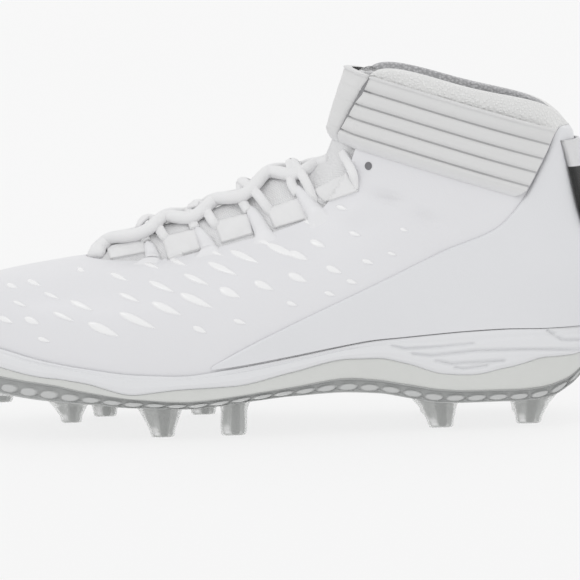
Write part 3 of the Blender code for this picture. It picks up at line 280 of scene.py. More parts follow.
def steady_curve(knots, values, at):
    """Cubic through the knots that never overshoots them."""
    knots = np.asarray(knots, float)
    values = np.asarray(values, float)
    at = np.clip(np.asarray(at, float), knots[0], knots[-1])
    steps = np.diff(knots)
    slopes = np.diff(values) / steps
    lean = np.zeros_like(values)
    lean[0] = slopes[0]
    lean[-1] = slopes[-1]
    same = slopes[1:] * slopes[:-1] > 0
    total = np.where(same, slopes[1:] + slopes[:-1], 1.0)
    lean[1:-1] = np.where(same, 2 * slopes[1:] * slopes[:-1] / total, 0.0)
    cell = np.clip(np.searchsorted(knots, at) - 1, 0, len(steps) - 1)
    span = steps[cell]
    part = (at - knots[cell]) / span
    before = values[cell] * (1 + 2 * part) * (1 - part) ** 2 + lean[cell] * span * part * (1 - part) ** 2
    after = values[cell + 1] * part**2 * (3 - 2 * part) - lean[cell + 1] * span * part**2 * (1 - part)
    return before + after


def ring_rows(table, height=None):
    """Rows right round the shoe: outer side from toe to heel, then the inner side back to the toe."""
    outer = [(row.along * LENGTH, -row.outer, height(row) if height else 0.0) for row in table]
    inner = [(row.along * LENGTH, row.inner, height(row) if height else 0.0) for row in table]
    return outer + inner[-2:0:-1]


WRAP = 4


def padded_ring(rows):
    return np.array(rows[-WRAP:] + rows + rows[:WRAP])


PLAN_RING = padded_ring(ring_rows(PLAN))
EDGE_RING = padded_ring(ring_rows(EDGE, lambda row: row.height))
RING_COUNT = len(PLAN_RING) - 2 * WRAP
RING_KNOTS = np.arange(-WRAP, RING_COUNT + WRAP, dtype=float)
UP_KNOTS = np.array([0, 0.25, 0.5, 0.75, 1])


def around(rows, at):
    """Closed smooth curve through the padded ring's rows, at stations counted round the shoe."""
    return natural_spline(RING_KNOTS, rows, np.mod(at, RING_COUNT))


def side_height(name, along):
    """Height of one line of the sole's side at a place along the shoe, in metres."""
    shares = [row.along * LENGTH for row in SIDE]
    return steady_curve(shares, [getattr(row, name) for row in SIDE], along)


def plan_loop(at, inset=0.0):
    """Points of the sole's outline at these stations, moved in by the inset, with z left at zero."""
    step = 0.02
    points = around(PLAN_RING, at)
    ahead = around(PLAN_RING, np.asarray(at) + step)
    behind = around(PLAN_RING, np.asarray(at) - step)
    run = ahead - behind
    run /= np.linalg.norm(run, axis=1)[:, None]
    inward = np.stack([-run[:, 1], run[:, 0], np.zeros(len(run))], axis=1)
    return points + inward * inset


def side_of(at):
    """Station counted from the toe on whichever side, and -1 on the outer or +1 on the inner side."""
    at = np.mod(np.asarray(at, float), RING_COUNT)
    inner = at > STATIONS
    return np.where(inner, RING_COUNT - at, at), np.where(inner, 1.0, -1.0)


def width_here(along):
    """BALL_WIDTH in front, HEEL_WIDTH behind, and a smooth change between them."""
    part = np.clip((along / LENGTH - 0.45) / 0.30, 0, 1)
    blend = part * part * (3 - 2 * part)
    return BALL_WIDTH * (1 - blend) + HEEL_WIDTH * blend


def skin(at, up):
    """Outer face of the upper at stations round the shoe and shares of the way up, 0 to 1."""
    at = np.atleast_1d(np.asarray(at, float))
    up = np.atleast_1d(np.asarray(up, float))
    foot = plan_loop(at, MIDSOLE_RIM + GAP)
    foot[:, 2] = side_height("bite", plan_loop(at)[:, 0]) - RIM_DEPTH
    edge = around(EDGE_RING, at)
    station, side = side_of(at)
    knots = [row.station for row in BULGE]
    bulges = natural_spline(knots, [row[1:] for row in BULGE], station)
    width = width_here(foot[:, 0])[:, None]
    levels = [foot]
    for number in range(3):
        share = (number + 1) / 4
        back, out, rise = (bulges[:, 3 * number + part] for part in range(3))
        shift = np.stack([back, out * side, rise], axis=1) * width
        levels.append(foot + (edge - foot) * share + shift)
    levels.append(edge)
    share = natural_spline(UP_KNOTS, np.eye(5), up)
    return np.einsum("uk,kac->auc", share, np.array(levels))


def outward(at, up):
    """Unit direction out of the upper's outer face at each point of the grid."""
    step_at = 0.05
    step_up = 0.01
    across = skin(np.asarray(at) + step_at, up) - skin(np.asarray(at) - step_at, up)
    upward = skin(at, np.asarray(up) + step_up) - skin(at, np.asarray(up) - step_up)
    normal = np.cross(across, upward)
    return normal / np.linalg.norm(normal, axis=2)[:, :, None]


def wall_here(at, up):
    """Wall of the upper: thin over the foot, padded round the collar."""
    station, _ = side_of(at)
    ankle = np.clip((station - 8.0) / 2.5, 0, 1)[:, None]
    high = np.clip((np.asarray(up)[None, :] - 0.70) / 0.22, 0, 1)
    high = high * high * (3 - 2 * high)
    return UPPER_WALL + (COLLAR_PAD - UPPER_WALL) * ankle * high


def offset_skin(at, up, distance):
    """The skin moved outwards by a distance, or inwards by a negative one."""
    return skin(at, up) + outward(at, up) * np.asarray(distance)[..., None]


def tongue_face(rows, lanes):
    """Outer face of the tongue: rows by station of the throat, lanes 0 to 4 from outer lap to inner lap."""
    rows = np.asarray(rows, float)
    crown = natural_spline([row.station for row in CROWN], [row[1:] for row in CROWN], rows)
    lap_up = 1 - TONGUE_UNDERLAP
    grid = np.empty((len(rows), len(lanes), 3))
    for number, station in enumerate(rows):
        points = []
        for at, order in ((station, (lap_up, 1.0)), (RING_COUNT - station, (1.0, lap_up))):
            up = np.array(order)
            under = -(wall_here([at], up) + TONGUE_SEAT)
            points.extend(offset_skin([at], up, under)[0])
        middle = np.array([crown[number, 0] * LENGTH, (points[1][1] + points[2][1]) / 2, crown[number, 1]])
        points.insert(2, middle)
        if station < CROWN[0].station:
            spread = (station, station / 2, 0.0, -station / 2, -station)
            under = np.full((5, 1), -(UPPER_WALL + TONGUE_SEAT))
            points = offset_skin(spread, [lap_up], under)[:, 0]
        lengths = np.linalg.norm(np.diff(points, axis=0), axis=1)
        knots = np.concatenate([[0.0], np.cumsum(lengths)])
        grid[number] = natural_spline(knots, points, np.interp(lanes, np.arange(5), knots))
    return grid


def grid_normals(grid):
    """Unit directions out of a grid of points."""
    normal = np.cross(np.gradient(grid, axis=0), np.gradient(grid, axis=1))
    return normal / np.linalg.norm(normal, axis=2)[:, :, None]


def strap_frame(down):
    """Centre of the ankle in the strap's plane, this far below its top edge, and the plane's axes."""
    back = np.array([math.cos(STRAP_SLOPE), 0.0, -math.sin(STRAP_SLOPE)])
    up = np.array([math.sin(STRAP_SLOPE), 0.0, math.cos(STRAP_SLOPE)])
    drop = (ANKLE_AXIS - STRAP_TOP_FRONT) * math.tan(STRAP_SLOPE)
    centre = np.array([ANKLE_AXIS, 0.0, STRAP_TOP_HEIGHT - drop]) - up * down
    return centre, back


def ring_support(tree, down):
    """Reach of the ankle in every direction of the strap's plane, as a stretched band would feel it."""
    centre, back = strap_frame(max(down, RING_TOP))
    angles = np.arange(RING_DIRECTIONS) * 2 * math.pi / RING_DIRECTIONS
    flat = np.stack([-np.cos(angles), -np.sin(angles)], axis=1)
    found = []
    for ahead, aside in flat:
        direction = Vector(back * ahead + np.array([0.0, aside, 0.0]))
        hit = tree.ray_cast(Vector(centre + SHIFT) + direction * ANKLE_REACH, -direction, ANKLE_REACH)
        if hit[0] is not None:
            found.append(np.array([ahead, aside]) * (ANKLE_REACH - hit[3]))
    return flat, (np.array(found) @ flat.T).max(axis=0)


def ring_reach(flat, support, angle, lift):
    """Distance from the centre to the stretched band at an angle, counted from the front."""
    direction = np.array([-math.cos(angle), -math.sin(angle)])
    facing = flat @ direction
    ahead = facing > 0.2
    return ((support[ahead] + lift) / facing[ahead]).min()


def strap_end(centre, back, flat, support):
    """Angle at which the strap's row comes up to the edge of the heel panel."""
    seam_along = [row.along * LENGTH for row in SEAM]
    seam_height = [row.height for row in SEAM]
    low, high = STRAP_BACK_FIRST, STRAP_BACK_LAST
    for _ in range(30):
        middle = (low + high) / 2
        reach = ring_reach(flat, support, middle, STRAP_SEAT)
        point = centre - back * math.cos(middle) * reach
        if point[2] > steady_curve(seam_along, seam_height, point[0]) + STRAP_BACK_GAP:
            low = middle
        else:
            high = middle
    return low


TONGUE_GRID_ROWS = np.linspace(1.0, 10.9, 397)
TONGUE_GRID_LANES = np.linspace(0.0, 4.0, 81)
TONGUE_GRID = tongue_face(TONGUE_GRID_ROWS, TONGUE_GRID_LANES)
TONGUE_OUT = grid_normals(TONGUE_GRID)


def tongue_point(station, lane, lift):
    """Point above the tongue's outer face, read from its fine grid."""
    row = np.clip((station - 1.0) / 0.025, 0, len(TONGUE_GRID_ROWS) - 1.001)
    column = np.clip(lane / 0.05, 0, len(TONGUE_GRID_LANES) - 1.001)
    low_row, low_column = int(row), int(column)
    row_part, column_part = row - low_row, column - low_column
    total = np.zeros(3)
    for step, weight in ((0, 1 - row_part), (1, row_part)):
        for aside, share in ((0, 1 - column_part), (1, column_part)):
            place = TONGUE_GRID[low_row + step, low_column + aside]
            total += (place + TONGUE_OUT[low_row + step, low_column + aside] * lift) * weight * share
    return total


OUTLINE_STATIONS = np.linspace(0, STATIONS, 1401)
OUTLINE_ALONG = {
    side: plan_loop(OUTLINE_STATIONS if side < 0 else RING_COUNT - OUTLINE_STATIONS)[:, 0] for side in (-1, 1)
}


def side_station_of_plan(along, side):
    """Station of the sole's outline at this place along the shoe."""
    station = np.interp(along, OUTLINE_ALONG[side], OUTLINE_STATIONS)
    return station if side < 0 else RING_COUNT - station


# Frame of the photograph
SHIFT = np.array([-0.148521, 0.000113, 0.0])
FRAME_PIXELS = 580
FRAME_WIDTH = 0.2575
CAMERA_DISTANCE = 2.2
CAMERA_RISE = math.radians(6.2)
CAMERA_ROLL = math.radians(1.35)
AIM = Vector((0.0098, 0.0, 0.0593))
SENSOR = 36.0

view_out = Vector((0.0, -math.cos(CAMERA_RISE), math.sin(CAMERA_RISE)))
camera_data = bpy.data.cameras.new("camera")
camera_data.sensor_width = SENSOR
camera_data.lens = SENSOR * CAMERA_DISTANCE / FRAME_WIDTH
camera_data.clip_end = 50
camera = bpy.data.objects.new("camera", camera_data)
bpy.context.scene.collection.objects.link(camera)
turn = (-view_out).to_track_quat("-Z", "Y").to_matrix() @ Matrix.Rotation(-CAMERA_ROLL, 3, "Z")
camera.matrix_world = Matrix.Translation(AIM + view_out * CAMERA_DISTANCE) @ turn.to_4x4()
bpy.context.scene.camera = camera


def photo_ray(px, py):
    """Origin and direction of the line of sight through a pixel of the photograph."""
    across = (px - FRAME_PIXELS / 2) / FRAME_PIXELS * FRAME_WIDTH / CAMERA_DISTANCE
    rise = -(py - FRAME_PIXELS / 2) / FRAME_PIXELS * FRAME_WIDTH / CAMERA_DISTANCE
    direction = turn @ Vector((across, rise, -1.0))
    return camera.matrix_world.translation, direction.normalized()


def photo_pixels(points):
    """Pixels of the photograph at which these points of the row frame lie."""
    away = (np.asarray(points) - np.array(camera.matrix_world.translation)) @ np.array(turn)
    scale = FRAME_PIXELS * CAMERA_DISTANCE / FRAME_WIDTH
    across = away[..., 0] / -away[..., 2]
    rise = away[..., 1] / -away[..., 2]
    return np.stack([FRAME_PIXELS / 2 + across * scale, FRAME_PIXELS / 2 - rise * scale], axis=-1)


# Materials
def shader_of(name, colour, roughness, **values):
    """Material with one shader; values are set on the shader's own sockets."""
    material = bpy.data.materials.new(name)
    material.use_nodes = True
    shader = material.node_tree.nodes["Principled BSDF"]
    shader.inputs["Base Color"].default_value = (*colour, 1.0)
    shader.inputs["Roughness"].default_value = roughness
    for key, value in values.items():
        shader.inputs[key.replace("_", " ")].default_value = value
    return material, shader


def node_of(material, kind, **values):
    node = material.node_tree.nodes.new(kind)
    for key, value in values.items():
        if key in node.inputs:
            node.inputs[key].default_value = value
        else:
            setattr(node, key, value)
    return node


def wire(material, source, target):
    material.node_tree.links.new(source, target)


def mixed(material, factor, first, second):
    """Colour between two colours by a factor socket."""
    mix = node_of(material, "ShaderNodeMix", data_type="RGBA")
    wire(material, factor, mix.inputs["Factor"])
    mix.inputs[6].default_value = (*first, 1.0)
    mix.inputs[7].default_value = (*second, 1.0)
    return mix.outputs[2]


def noise_of(material, scale, detail=3.0, roughness=0.55, stretch=(1, 1, 1), turned=(0, 0, 0)):
    """Noise in the object's own space, stretched and turned."""
    place = node_of(material, "ShaderNodeTexCoord")
    mapping = node_of(material, "ShaderNodeMapping")
    mapping.inputs["Scale"].default_value = stretch
    mapping.inputs["Rotation"].default_value = turned
    noise = node_of(material, "ShaderNodeTexNoise", Scale=scale, Detail=detail, Roughness=roughness)
    wire(material, place.outputs["Object"], mapping.inputs["Vector"])
    wire(material, mapping.outputs["Vector"], noise.inputs["Vector"])
    return noise.outputs["Fac"]


def bump_of(material, shader, height, distance, strength=1.0, after=None):
    """Bump on a shader; returns its normal so that another can follow it."""
    bump = node_of(material, "ShaderNodeBump", Distance=distance, Strength=strength)
    wire(material, height, bump.inputs["Height"])
    if after is not None:
        wire(material, after, bump.inputs["Normal"])
    wire(material, bump.outputs["Normal"], shader.inputs["Normal"])
    return bump.outputs["Normal"]


def ramp_of(material, factor, low, high):
    """Share from 0 to 1 as a factor passes from low to high."""
    spread = node_of(material, "ShaderNodeMapRange", clamp=True)
    spread.interpolation_type = "SMOOTHSTEP"
    spread.inputs["From Min"].default_value = low
    spread.inputs["From Max"].default_value = high
    wire(material, factor, spread.inputs["Value"])
    return spread.outputs["Result"]


def attribute_of(material, name):
    node = node_of(material, "ShaderNodeAttribute")
    node.attribute_name = name
    return node.outputs["Fac"]


def weave_of(material, pitch_u, pitch_v):
    """Two crossed sets of threads from the piece's own map, as a height from 0 to 1."""
    uv = node_of(material, "ShaderNodeTexCoord").outputs["UV"]
    parts = node_of(material, "ShaderNodeSeparateXYZ")
    wire(material, uv, parts.inputs[0])
    waves = []
    for axis, pitch in (("X", pitch_u), ("Y", pitch_v)):
        scaled = node_of(material, "ShaderNodeMath", operation="MULTIPLY")
        wire(material, parts.outputs[axis], scaled.inputs[0])
        scaled.inputs[1].default_value = 2 * math.pi / pitch
        wave = node_of(material, "ShaderNodeMath", operation="SINE")
        wire(material, scaled.outputs[0], wave.inputs[0])
        waves.append(wave.outputs[0])
    product = node_of(material, "ShaderNodeMath", operation="MULTIPLY")
    wire(material, waves[0], product.inputs[0])
    wire(material, waves[1], product.inputs[1])
    level = node_of(material, "ShaderNodeMath", operation="MULTIPLY_ADD")
    wire(material, product.outputs[0], level.inputs[0])
    level.inputs[1].default_value = 0.5
    level.inputs[2].default_value = 0.5
    return level.outputs[0]


def coated_synthetic(name, colour, roughness, grain=0.00006):
    """Smooth white coated synthetic with a fine leather grain."""
    material, shader = shader_of(name, colour, roughness, Coat_Weight=0.25, Coat_Roughness=0.32)
    tint = noise_of(material, 38, 3)
    wire(
        material,
        mixed(material, tint, colour, tuple(c * 0.975 for c in colour)),
        shader.inputs["Base Color"],
    )
    fine = noise_of(material, 1500, 2, 0.5)
    first = bump_of(material, shader, fine, grain, 0.6)
    slow = noise_of(material, 60, 2, 0.5)
    bump_of(material, shader, slow, 0.0004, 0.35, first)
    return material


upper_skin = coated_synthetic("upper_synthetic", (0.765, 0.765, 0.785), 0.42)
panel_skin = coated_synthetic("panel_synthetic", (0.745, 0.750, 0.770), 0.38)
finger_skin = coated_synthetic("finger_synthetic", (0.80, 0.80, 0.815), 0.40)
# Raised marks: a glossy coat, and a base colour lighter than the upper that partly paints their highlights
mark_skin, mark_shader = shader_of(
    "mark_gloss", (0.87, 0.87, 0.875), 0.25, Coat_Weight=0.6, Coat_Roughness=0.14
)
bump_of(mark_skin, mark_shader, noise_of(mark_skin, 900, 2), 0.00004, 0.5)


def knit_material(name, colour, dark, pitch, depth, roughness=0.92):
    material, shader = shader_of(name, colour, roughness, Sheen_Weight=0.25, Sheen_Roughness=0.5)
    height = weave_of(material, pitch, pitch * 0.8)
    wire(material, mixed(material, height, dark, colour), shader.inputs["Base Color"])
    first = bump_of(material, shader, height, depth, 0.9)
    bump_of(material, shader, noise_of(material, 900, 3), depth * 0.6, 0.5, first)
    return material


tongue_knit = knit_material("tongue_mesh", (0.85, 0.85, 0.855), (0.74, 0.74, 0.75), 0.0013, 0.00022)
lace_weave = knit_material("lace_weave", (0.86, 0.86, 0.865), (0.81, 0.81, 0.815), 0.0010, 0.00012, 0.75)
window_weave = knit_material("window_weave", (0.83, 0.83, 0.835), (0.80, 0.80, 0.805), 0.0006, 0.00006, 0.7)
band_weave = knit_material("band_weave", (0.735, 0.735, 0.735), (0.70, 0.70, 0.70), 0.0005, 0.00005, 0.62)
# grey knit behind the slit: partly its own grey, darkened as painted shade of the gap between the bands
slit_knit = knit_material("slit_knit", (0.36, 0.36, 0.37), (0.22, 0.22, 0.23), 0.0010, 0.00015)
insole_fabric = knit_material("insole_fabric", (0.55, 0.55, 0.56), (0.45, 0.45, 0.46), 0.0008, 0.00012)
tab_weave = knit_material("tab_weave", (0.022, 0.022, 0.022), (0.008, 0.008, 0.008), 0.0010, 0.00025, 0.8)


def tint_where(material, factor, colour):
    """Lays a second colour over a material's own colour by a factor socket."""
    shader = material.node_tree.nodes["Principled BSDF"]
    under = shader.inputs["Base Color"].links[0].from_socket
    mix = node_of(material, "ShaderNodeMix", data_type="RGBA")
    wire(material, factor, mix.inputs["Factor"])
    wire(material, under, mix.inputs[6])
    mix.inputs[7].default_value = (*colour, 1.0)
    wire(material, mix.outputs[2], shader.inputs["Base Color"])


# Painted shade: the band's grooves are tinted dark grey on top of their real depth
tint_where(band_weave, attribute_of(band_weave, "groove"), (0.50, 0.50, 0.505))
tint_where(band_weave, attribute_of(band_weave, "low"), (0.77, 0.77, 0.78))
# Painted shade: the panel's edge face is tinted dark grey as the shade line along its step
tint_where(panel_skin, ramp_of(panel_skin, attribute_of(panel_skin, "edge"), 0.3, 0.8), (0.46, 0.46, 0.48))


# Meshes
def grid_mesh(name, grid, material, wrap=False, uv_scale=None, attributes=None, ends=False):
    """Smooth sheet through a grid of points of the build frame, with a map in metres along it."""
    rows, columns = grid.shape[:2]
    mesh = bpy.data.meshes.new(name)
    points = (grid + SHIFT).reshape(-1, 3)
    faces = []
    last = columns if wrap else columns - 1
    for row in range(rows - 1):
        start = row * columns
        for column in range(last):
            after = (column + 1) % columns
            faces.append((start + column, start + after, start + columns + after, start + columns + column))
    if ends:
        faces.append(tuple(range(columns - 1, -1, -1)))
        faces.append(tuple(range((rows - 1) * columns, rows * columns)))
    mesh.from_pydata(points.tolist(), [], faces)
    along = np.zeros((rows, columns))
    up = np.zeros((rows, columns))
    along[:, 1:] = np.cumsum(np.linalg.norm(np.diff(grid, axis=1), axis=2).mean(axis=0))[None, :]
    up[1:, :] = np.cumsum(np.linalg.norm(np.diff(grid, axis=0), axis=2).mean(axis=1))[:, None]
    layer = mesh.uv_layers.new(name="map")
    corner = np.empty(len(mesh.loops), np.int32)
    mesh.loops.foreach_get("vertex_index", corner)
    flat = np.stack([along.reshape(-1)[corner], up.reshape(-1)[corner]], axis=1)
    layer.data.foreach_set("uv", flat.astype(np.float32).reshape(-1))
    for key, values in (attributes or {}).items():
        store = mesh.attributes.new(key, "FLOAT", "POINT")
        store.data.foreach_set("value", np.asarray(values, np.float32).reshape(-1))
    mesh.shade_smooth()
    item = bpy.data.objects.new(name, mesh)
    bpy.context.scene.collection.objects.link(item)
    mesh.materials.append(material)
    return item


def settle(item, slot, *nodes):
    """Makes a piece ride on the shoe and stand for its solids; the slot is not used."""
    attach(item, "root")
    if nodes:
        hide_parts(*nodes)
    return item


def tree_of(items):
    points = []
    faces = []
    for item in items:
        start = len(points)
        points.extend(vert.co.copy() for vert in item.data.vertices)
        faces.extend([start + index for index in face.vertices] for face in item.data.polygons)
    return BVHTree.FromPolygons(points, faces)


def cast(tree, px, py):
    """Place and outward direction where a pixel of the photograph meets the surface, in the build frame."""
    origin, direction = photo_ray(px, py)
    hit = tree.ray_cast(origin, direction)
    if hit[0] is None:
        return None
    normal = hit[1] if hit[1].dot(direction) < 0 else -hit[1]
    return np.array(hit[0]) - SHIFT, np.array(normal)


def cast_below(tree, px, py):
    """Cast through a pixel, or through the first one below it that meets the surface."""
    found = cast(tree, px, py)
    while found is None and py < FRAME_PIXELS:
        py += 1.0
        found = cast(tree, px, py)
    return found


# Upper: one shell from the foot over the padded collar and down inside
COLUMNS = 448
OUTER_ROWS = 84
INNER_ROWS = 22
LIP_STEPS = 9

# Soft hollows (negative) and swells of the upper on the photographed side, by pixel:
# centre, lean of the long axis down to the right in degrees, half length, half width, depth in mm
CREASES = (
    (388, 197, 14, 20, 5, -1.9),
    (426, 217, 22, 18, 6, -1.8),
    (366, 226, -12, 26, 12, -0.5),
    (404, 236, 30, 18, 9, 0.4),
    (352, 212, -25, 12, 8, 0.4),
    (300, 262, -22, 40, 10, -0.35),
    (214, 284, -18, 42, 12, -0.35),
    (128, 296, -14, 40, 12, -0.30),
    (86, 262, -32, 20, 6, -0.35),
    (58, 276, -20, 30, 8, 0.25),
    (452, 262, 40, 26, 12, -0.35),
    (488, 300, 10, 44, 16, -0.30),
    (420, 292, -24, 50, 14, 0.25),
    (556, 290, 75, 40, 12, -0.25),
)


def crease_relief(grid, station, side):
    """Depth of the listed creases, laid out on the photographed side and mirrored to the other."""
    mirrored = grid.copy()
    mirrored[..., 1] = np.where(side[None, :] > 0, -mirrored[..., 1], mirrored[..., 1])
    pixels = photo_pixels(mirrored + SHIFT)
    relief = np.zeros(grid.shape[:2])
    for px, py, lean, long, wide, depth in CREASES:
        angle = math.radians(lean)
        right, down = pixels[..., 0] - px, pixels[..., 1] - py
        along = right * math.cos(angle) + down * math.sin(angle)
        aside = -right * math.sin(angle) + down * math.cos(angle)
        relief += depth * 0.001 * np.exp(-((along / long) ** 2) - (aside / wide) ** 2)
    return relief


def build_shell():
    at = np.arange(COLUMNS) / COLUMNS * RING_COUNT
    up = np.linspace(0, 1, OUTER_ROWS)
    station, side = side_of(at)
    base = skin(at, up).transpose(1, 0, 2)
    normal = outward(at, up).transpose(1, 0, 2)
    wall = wall_here(at, up).T
    edge_fade = np.clip((1 - up) / 0.05, 0, 1)[:, None] * np.clip(up / 0.05, 0, 1)[:, None]
    outer = base + normal * (crease_relief(base, station, side) * edge_fade)[..., None]
    down = np.linspace(1, 0, INNER_ROWS) ** 0.9
    inner_base = skin(at, down).transpose(1, 0, 2)
    inner_normal = outward(at, down).transpose(1, 0, 2)
    inner = inner_base - inner_normal * wall_here(at, down).T[..., None]
    middle = (outer[-1] + inner[0]) / 2
    half = outer[-1] - middle
    rising = outer[-1] - outer[-3]
    rising /= np.linalg.norm(rising, axis=1)[:, None]
    reach = np.linalg.norm(half, axis=1)[:, None]
    lip = []
    for step in range(1, LIP_STEPS):
        angle = math.pi * step / LIP_STEPS
        lip.append(middle + half * math.cos(angle) + rising * reach * math.sin(angle) * 0.55)
    grid = np.concatenate([outer, np.array(lip), inner])
    passed = np.concatenate([np.zeros(OUTER_ROWS), np.arange(1, LIP_STEPS) / LIP_STEPS, np.ones(INNER_ROWS)])
    passed = np.repeat(passed[:, None], COLUMNS, axis=1)
    centre, back = strap_frame(0.0)
    rise = np.array([math.sin(STRAP_SLOPE), 0.0, math.cos(STRAP_SLOPE)])
    above = (grid - centre) @ rise
    ankle = np.clip((station - 8.6) / 0.5, 0, 1)[None, :]
    collar = np.where(ankle > 0.5, above + 0.004, -0.02 + 0 * above)
    inside = passed - 0.55
    inside = np.where(ankle > 0.5, inside, inside - 0.3)
    return grid, {"collar": collar, "inside": inside}


shell_grid, shell_marks = build_shell()
shell = grid_mesh("upper_shell", shell_grid, upper_skin, wrap=True, attributes=shell_marks)


def blend_upper(material):
    """White synthetic outside, terry round the collar and grey knit inside, told apart by the shell's own marks."""
    tree = material.node_tree
    output = tree.nodes["Material Output"]
    outside = tree.nodes["Principled BSDF"]
    shaders = [outside]
    for colour, dark, pitch, depth in (
        ((0.84, 0.84, 0.835), (0.77, 0.77, 0.765), 0.0012, 0.00030),
        ((0.62, 0.62, 0.63), (0.43, 0.43, 0.44), 0.0013, 0.00030),
    ):
        shader = tree.nodes.new("ShaderNodeBsdfPrincipled")
        shader.inputs["Roughness"].default_value = 0.93
        shader.inputs["Sheen Weight"].default_value = 0.2
        cells = node_of(material, "ShaderNodeTexVoronoi", Scale=1 / pitch)
        place = node_of(material, "ShaderNodeTexCoord")
        wire(material, place.outputs["Object"], cells.inputs["Vector"])
        level = ramp_of(material, cells.outputs["Distance"], 0.75, 0.15)
        wire(material, mixed(material, level, dark, colour), shader.inputs["Base Color"])
        bump_of(material, shader, level, depth, 0.8)
        shaders.append(shader)
    collar = ramp_of(material, attribute_of(material, "collar"), 0.0, 0.0006)
    inside = ramp_of(material, attribute_of(material, "inside"), 0.0, 0.02)
    first = tree.nodes.new("ShaderNodeMixShader")
    wire(material, collar, first.inputs[0])
    wire(material, shaders[0].outputs[0], first.inputs[1])
    wire(material, shaders[1].outputs[0], first.inputs[2])
    second = tree.nodes.new("ShaderNodeMixShader")
    wire(material, inside, second.inputs[0])
    wire(material, first.outputs[0], second.inputs[1])
    wire(material, shaders[2].outputs[0], second.inputs[2])
    wire(material, second.outputs[0], output.inputs["Surface"])


blend_upper(upper_skin)
settle(shell, "white_synthetic", "upper")
shell_tree = tree_of([shell])


# Heel panel: smooth overlay with a soft edge, and painted shade along that edge
def build_panel():
    seam_along = [row.along * LENGTH for row in SEAM]
    seam_height = [row.height for row in SEAM]
    at_all = np.arange(0, RING_COUNT * 12) / 12
    feet = skin(at_all, [0.0])[:, 0]
    rise = around(EDGE_RING, at_all)[:, 2] - feet[:, 2]
    low = (RIM_DEPTH + GAP) / rise
    levels = np.linspace(0, 1, 241)
    wall = skin(at_all, levels)
    under = wall[..., 2] < steady_curve(
        seam_along, seam_height, wall[..., 0].reshape(-1)
    ).reshape(wall.shape[:2])
    columns = []
    for number, at in enumerate(at_all):
        start = np.searchsorted(levels, low[number])
        if wall[number, start, 0] < seam_along[0] + 0.004:
            continue
        above = np.nonzero(~under[number, start:])[0]
        high = levels[start + above[0]] if len(above) else 1.0
        if 0 < start + (above[0] if len(above) else 0) and high < 1.0:
            before, after = levels[start + above[0] - 1], high
            for _ in range(16):
                middle = (before + after) / 2
                point = skin([at], [middle])[0, 0]
                if point[2] < steady_curve(seam_along, seam_height, point[0]):
                    before = middle
                else:
                    after = middle
            high = before
        if high - low[number] > 0.02:
            columns.append((at, low[number], high))
    rows = 44
    shares = np.linspace(0, 1, rows)
    grid = np.empty((rows + 2, len(columns), 3))
    ends = np.clip(np.minimum(np.arange(len(columns)), np.arange(len(columns))[::-1]) / 3, 0, 1)
    for number, (at, foot, high) in enumerate(columns):
        up = foot + (high - foot) * shares
        near = np.minimum((high - up) * rise[int(at * 12)], 0.0007) / 0.0007
        lift = (PANEL_SEAT * 0.55 + OVERLAY * np.sqrt(np.clip(near, 0, 1)) * 0.9) * (0.3 + 0.7 * ends[number])
        line_up = offset_skin([at], up, lift[None, :])[0]
        edge_down = offset_skin([at], [high, high], np.array([[0.0002, -0.0006]]))[0]
        grid[:rows, number] = line_up
        grid[rows:, number] = edge_down
    return grid


panel_grid = build_panel()
# rows of the panel's edge face, tinted for the painted shade line
panel_edge = np.zeros(panel_grid.shape[:2])
panel_edge[-2:] = 1.0
panel = grid_mesh("rear_panel", panel_grid, panel_skin, attributes={"edge": panel_edge})
settle(panel, "smooth_synthetic", "heel_panel")


# Tongue
def rumple(grid, scale, depth, seed):
    """Gentle soft waves over a sheet, from a few fixed sine sets."""
    chance = np.random.default_rng(seed)
    wave = np.zeros(grid.shape[:2])
    for _ in range(9):
        direction = chance.normal(size=3)
        direction /= np.linalg.norm(direction)
        length = scale * chance.uniform(0.6, 1.7)
        wave += np.sin(grid @ direction * 2 * math.pi / length + chance.uniform(0, 6.28))
    return wave / 3 * depth


def build_tongue():
    rows = np.concatenate([[0.6], np.linspace(1.0, 1.5, 12), np.linspace(1.55, 10.9, 150)])
    lanes = np.linspace(0, 4, 57)
    outer = tongue_face(rows, lanes)
    normal = grid_normals(outer)
    pad = np.interp(rows, [0.6, 1.0, 1.6], [0.4, 0.7, 1.0])[:, None] * TONGUE
    pad = pad * np.interp(np.minimum(lanes, 4 - lanes), [0, 0.35], [0.4, 1.0])[None, :]
    inner = outer - normal * pad[..., None]
    calm = np.interp(np.minimum(lanes, 4 - lanes), [0.9, 1.3], [0.0, 1.0])[None, :]
    calm = calm * np.interp(rows, [1.5, 2.5, 8.5, 9.5], [0, 1, 1, 0])[:, None]
    outer = outer + normal * (rumple(outer, 0.011, 0.0005, 7) * calm)[..., None]
    ring = []
    for row in range(len(rows)):
        ring.append(np.concatenate([outer[row], inner[row, ::-1]]))
    return np.array(ring)


tongue = grid_mesh("padded_tongue", build_tongue(), tongue_knit, wrap=True, ends=True)
settle(tongue, "white_knit", "tongue")
front_tree = tree_of([shell, tongue])
outside_tree = tree_of([shell, tongue, panel])


# Ankle bands
BAND_TOP_DROP = 0.0009
BAND_SPAN = STRAP_WIDTH * 1.095
BAND_GROOVES = (0.218, 0.420, 0.616, 0.816)
BAND_GROOVE_DEPTH = 0.0008
BAND_GROOVE_HALF = 0.013
SLIT_LINE = ((75.5, 366.5), (143.0, 328.5))


def slit_angle(centre, back, flat, support):
    """Turn from the front of the ankle at which the band meets the photographed line of the slit."""
    turns = np.radians(np.arange(2.0, 80.0, 0.5))
    places = []
    for turn in turns:
        direction = -back * math.cos(turn) - np.array([0.0, math.sin(turn), 0.0])
        places.append(centre + direction * ring_reach(flat, support, turn, STRAP_SEAT + STRAP))
    pixels = photo_pixels(np.array(places) + SHIFT)
    (high, first), (low, last) = SLIT_LINE
    share = (pixels[:, 1] - high) / (low - high)
    return turns[np.argmax(pixels[:, 0] - (first + (last - first) * share) > 0)]


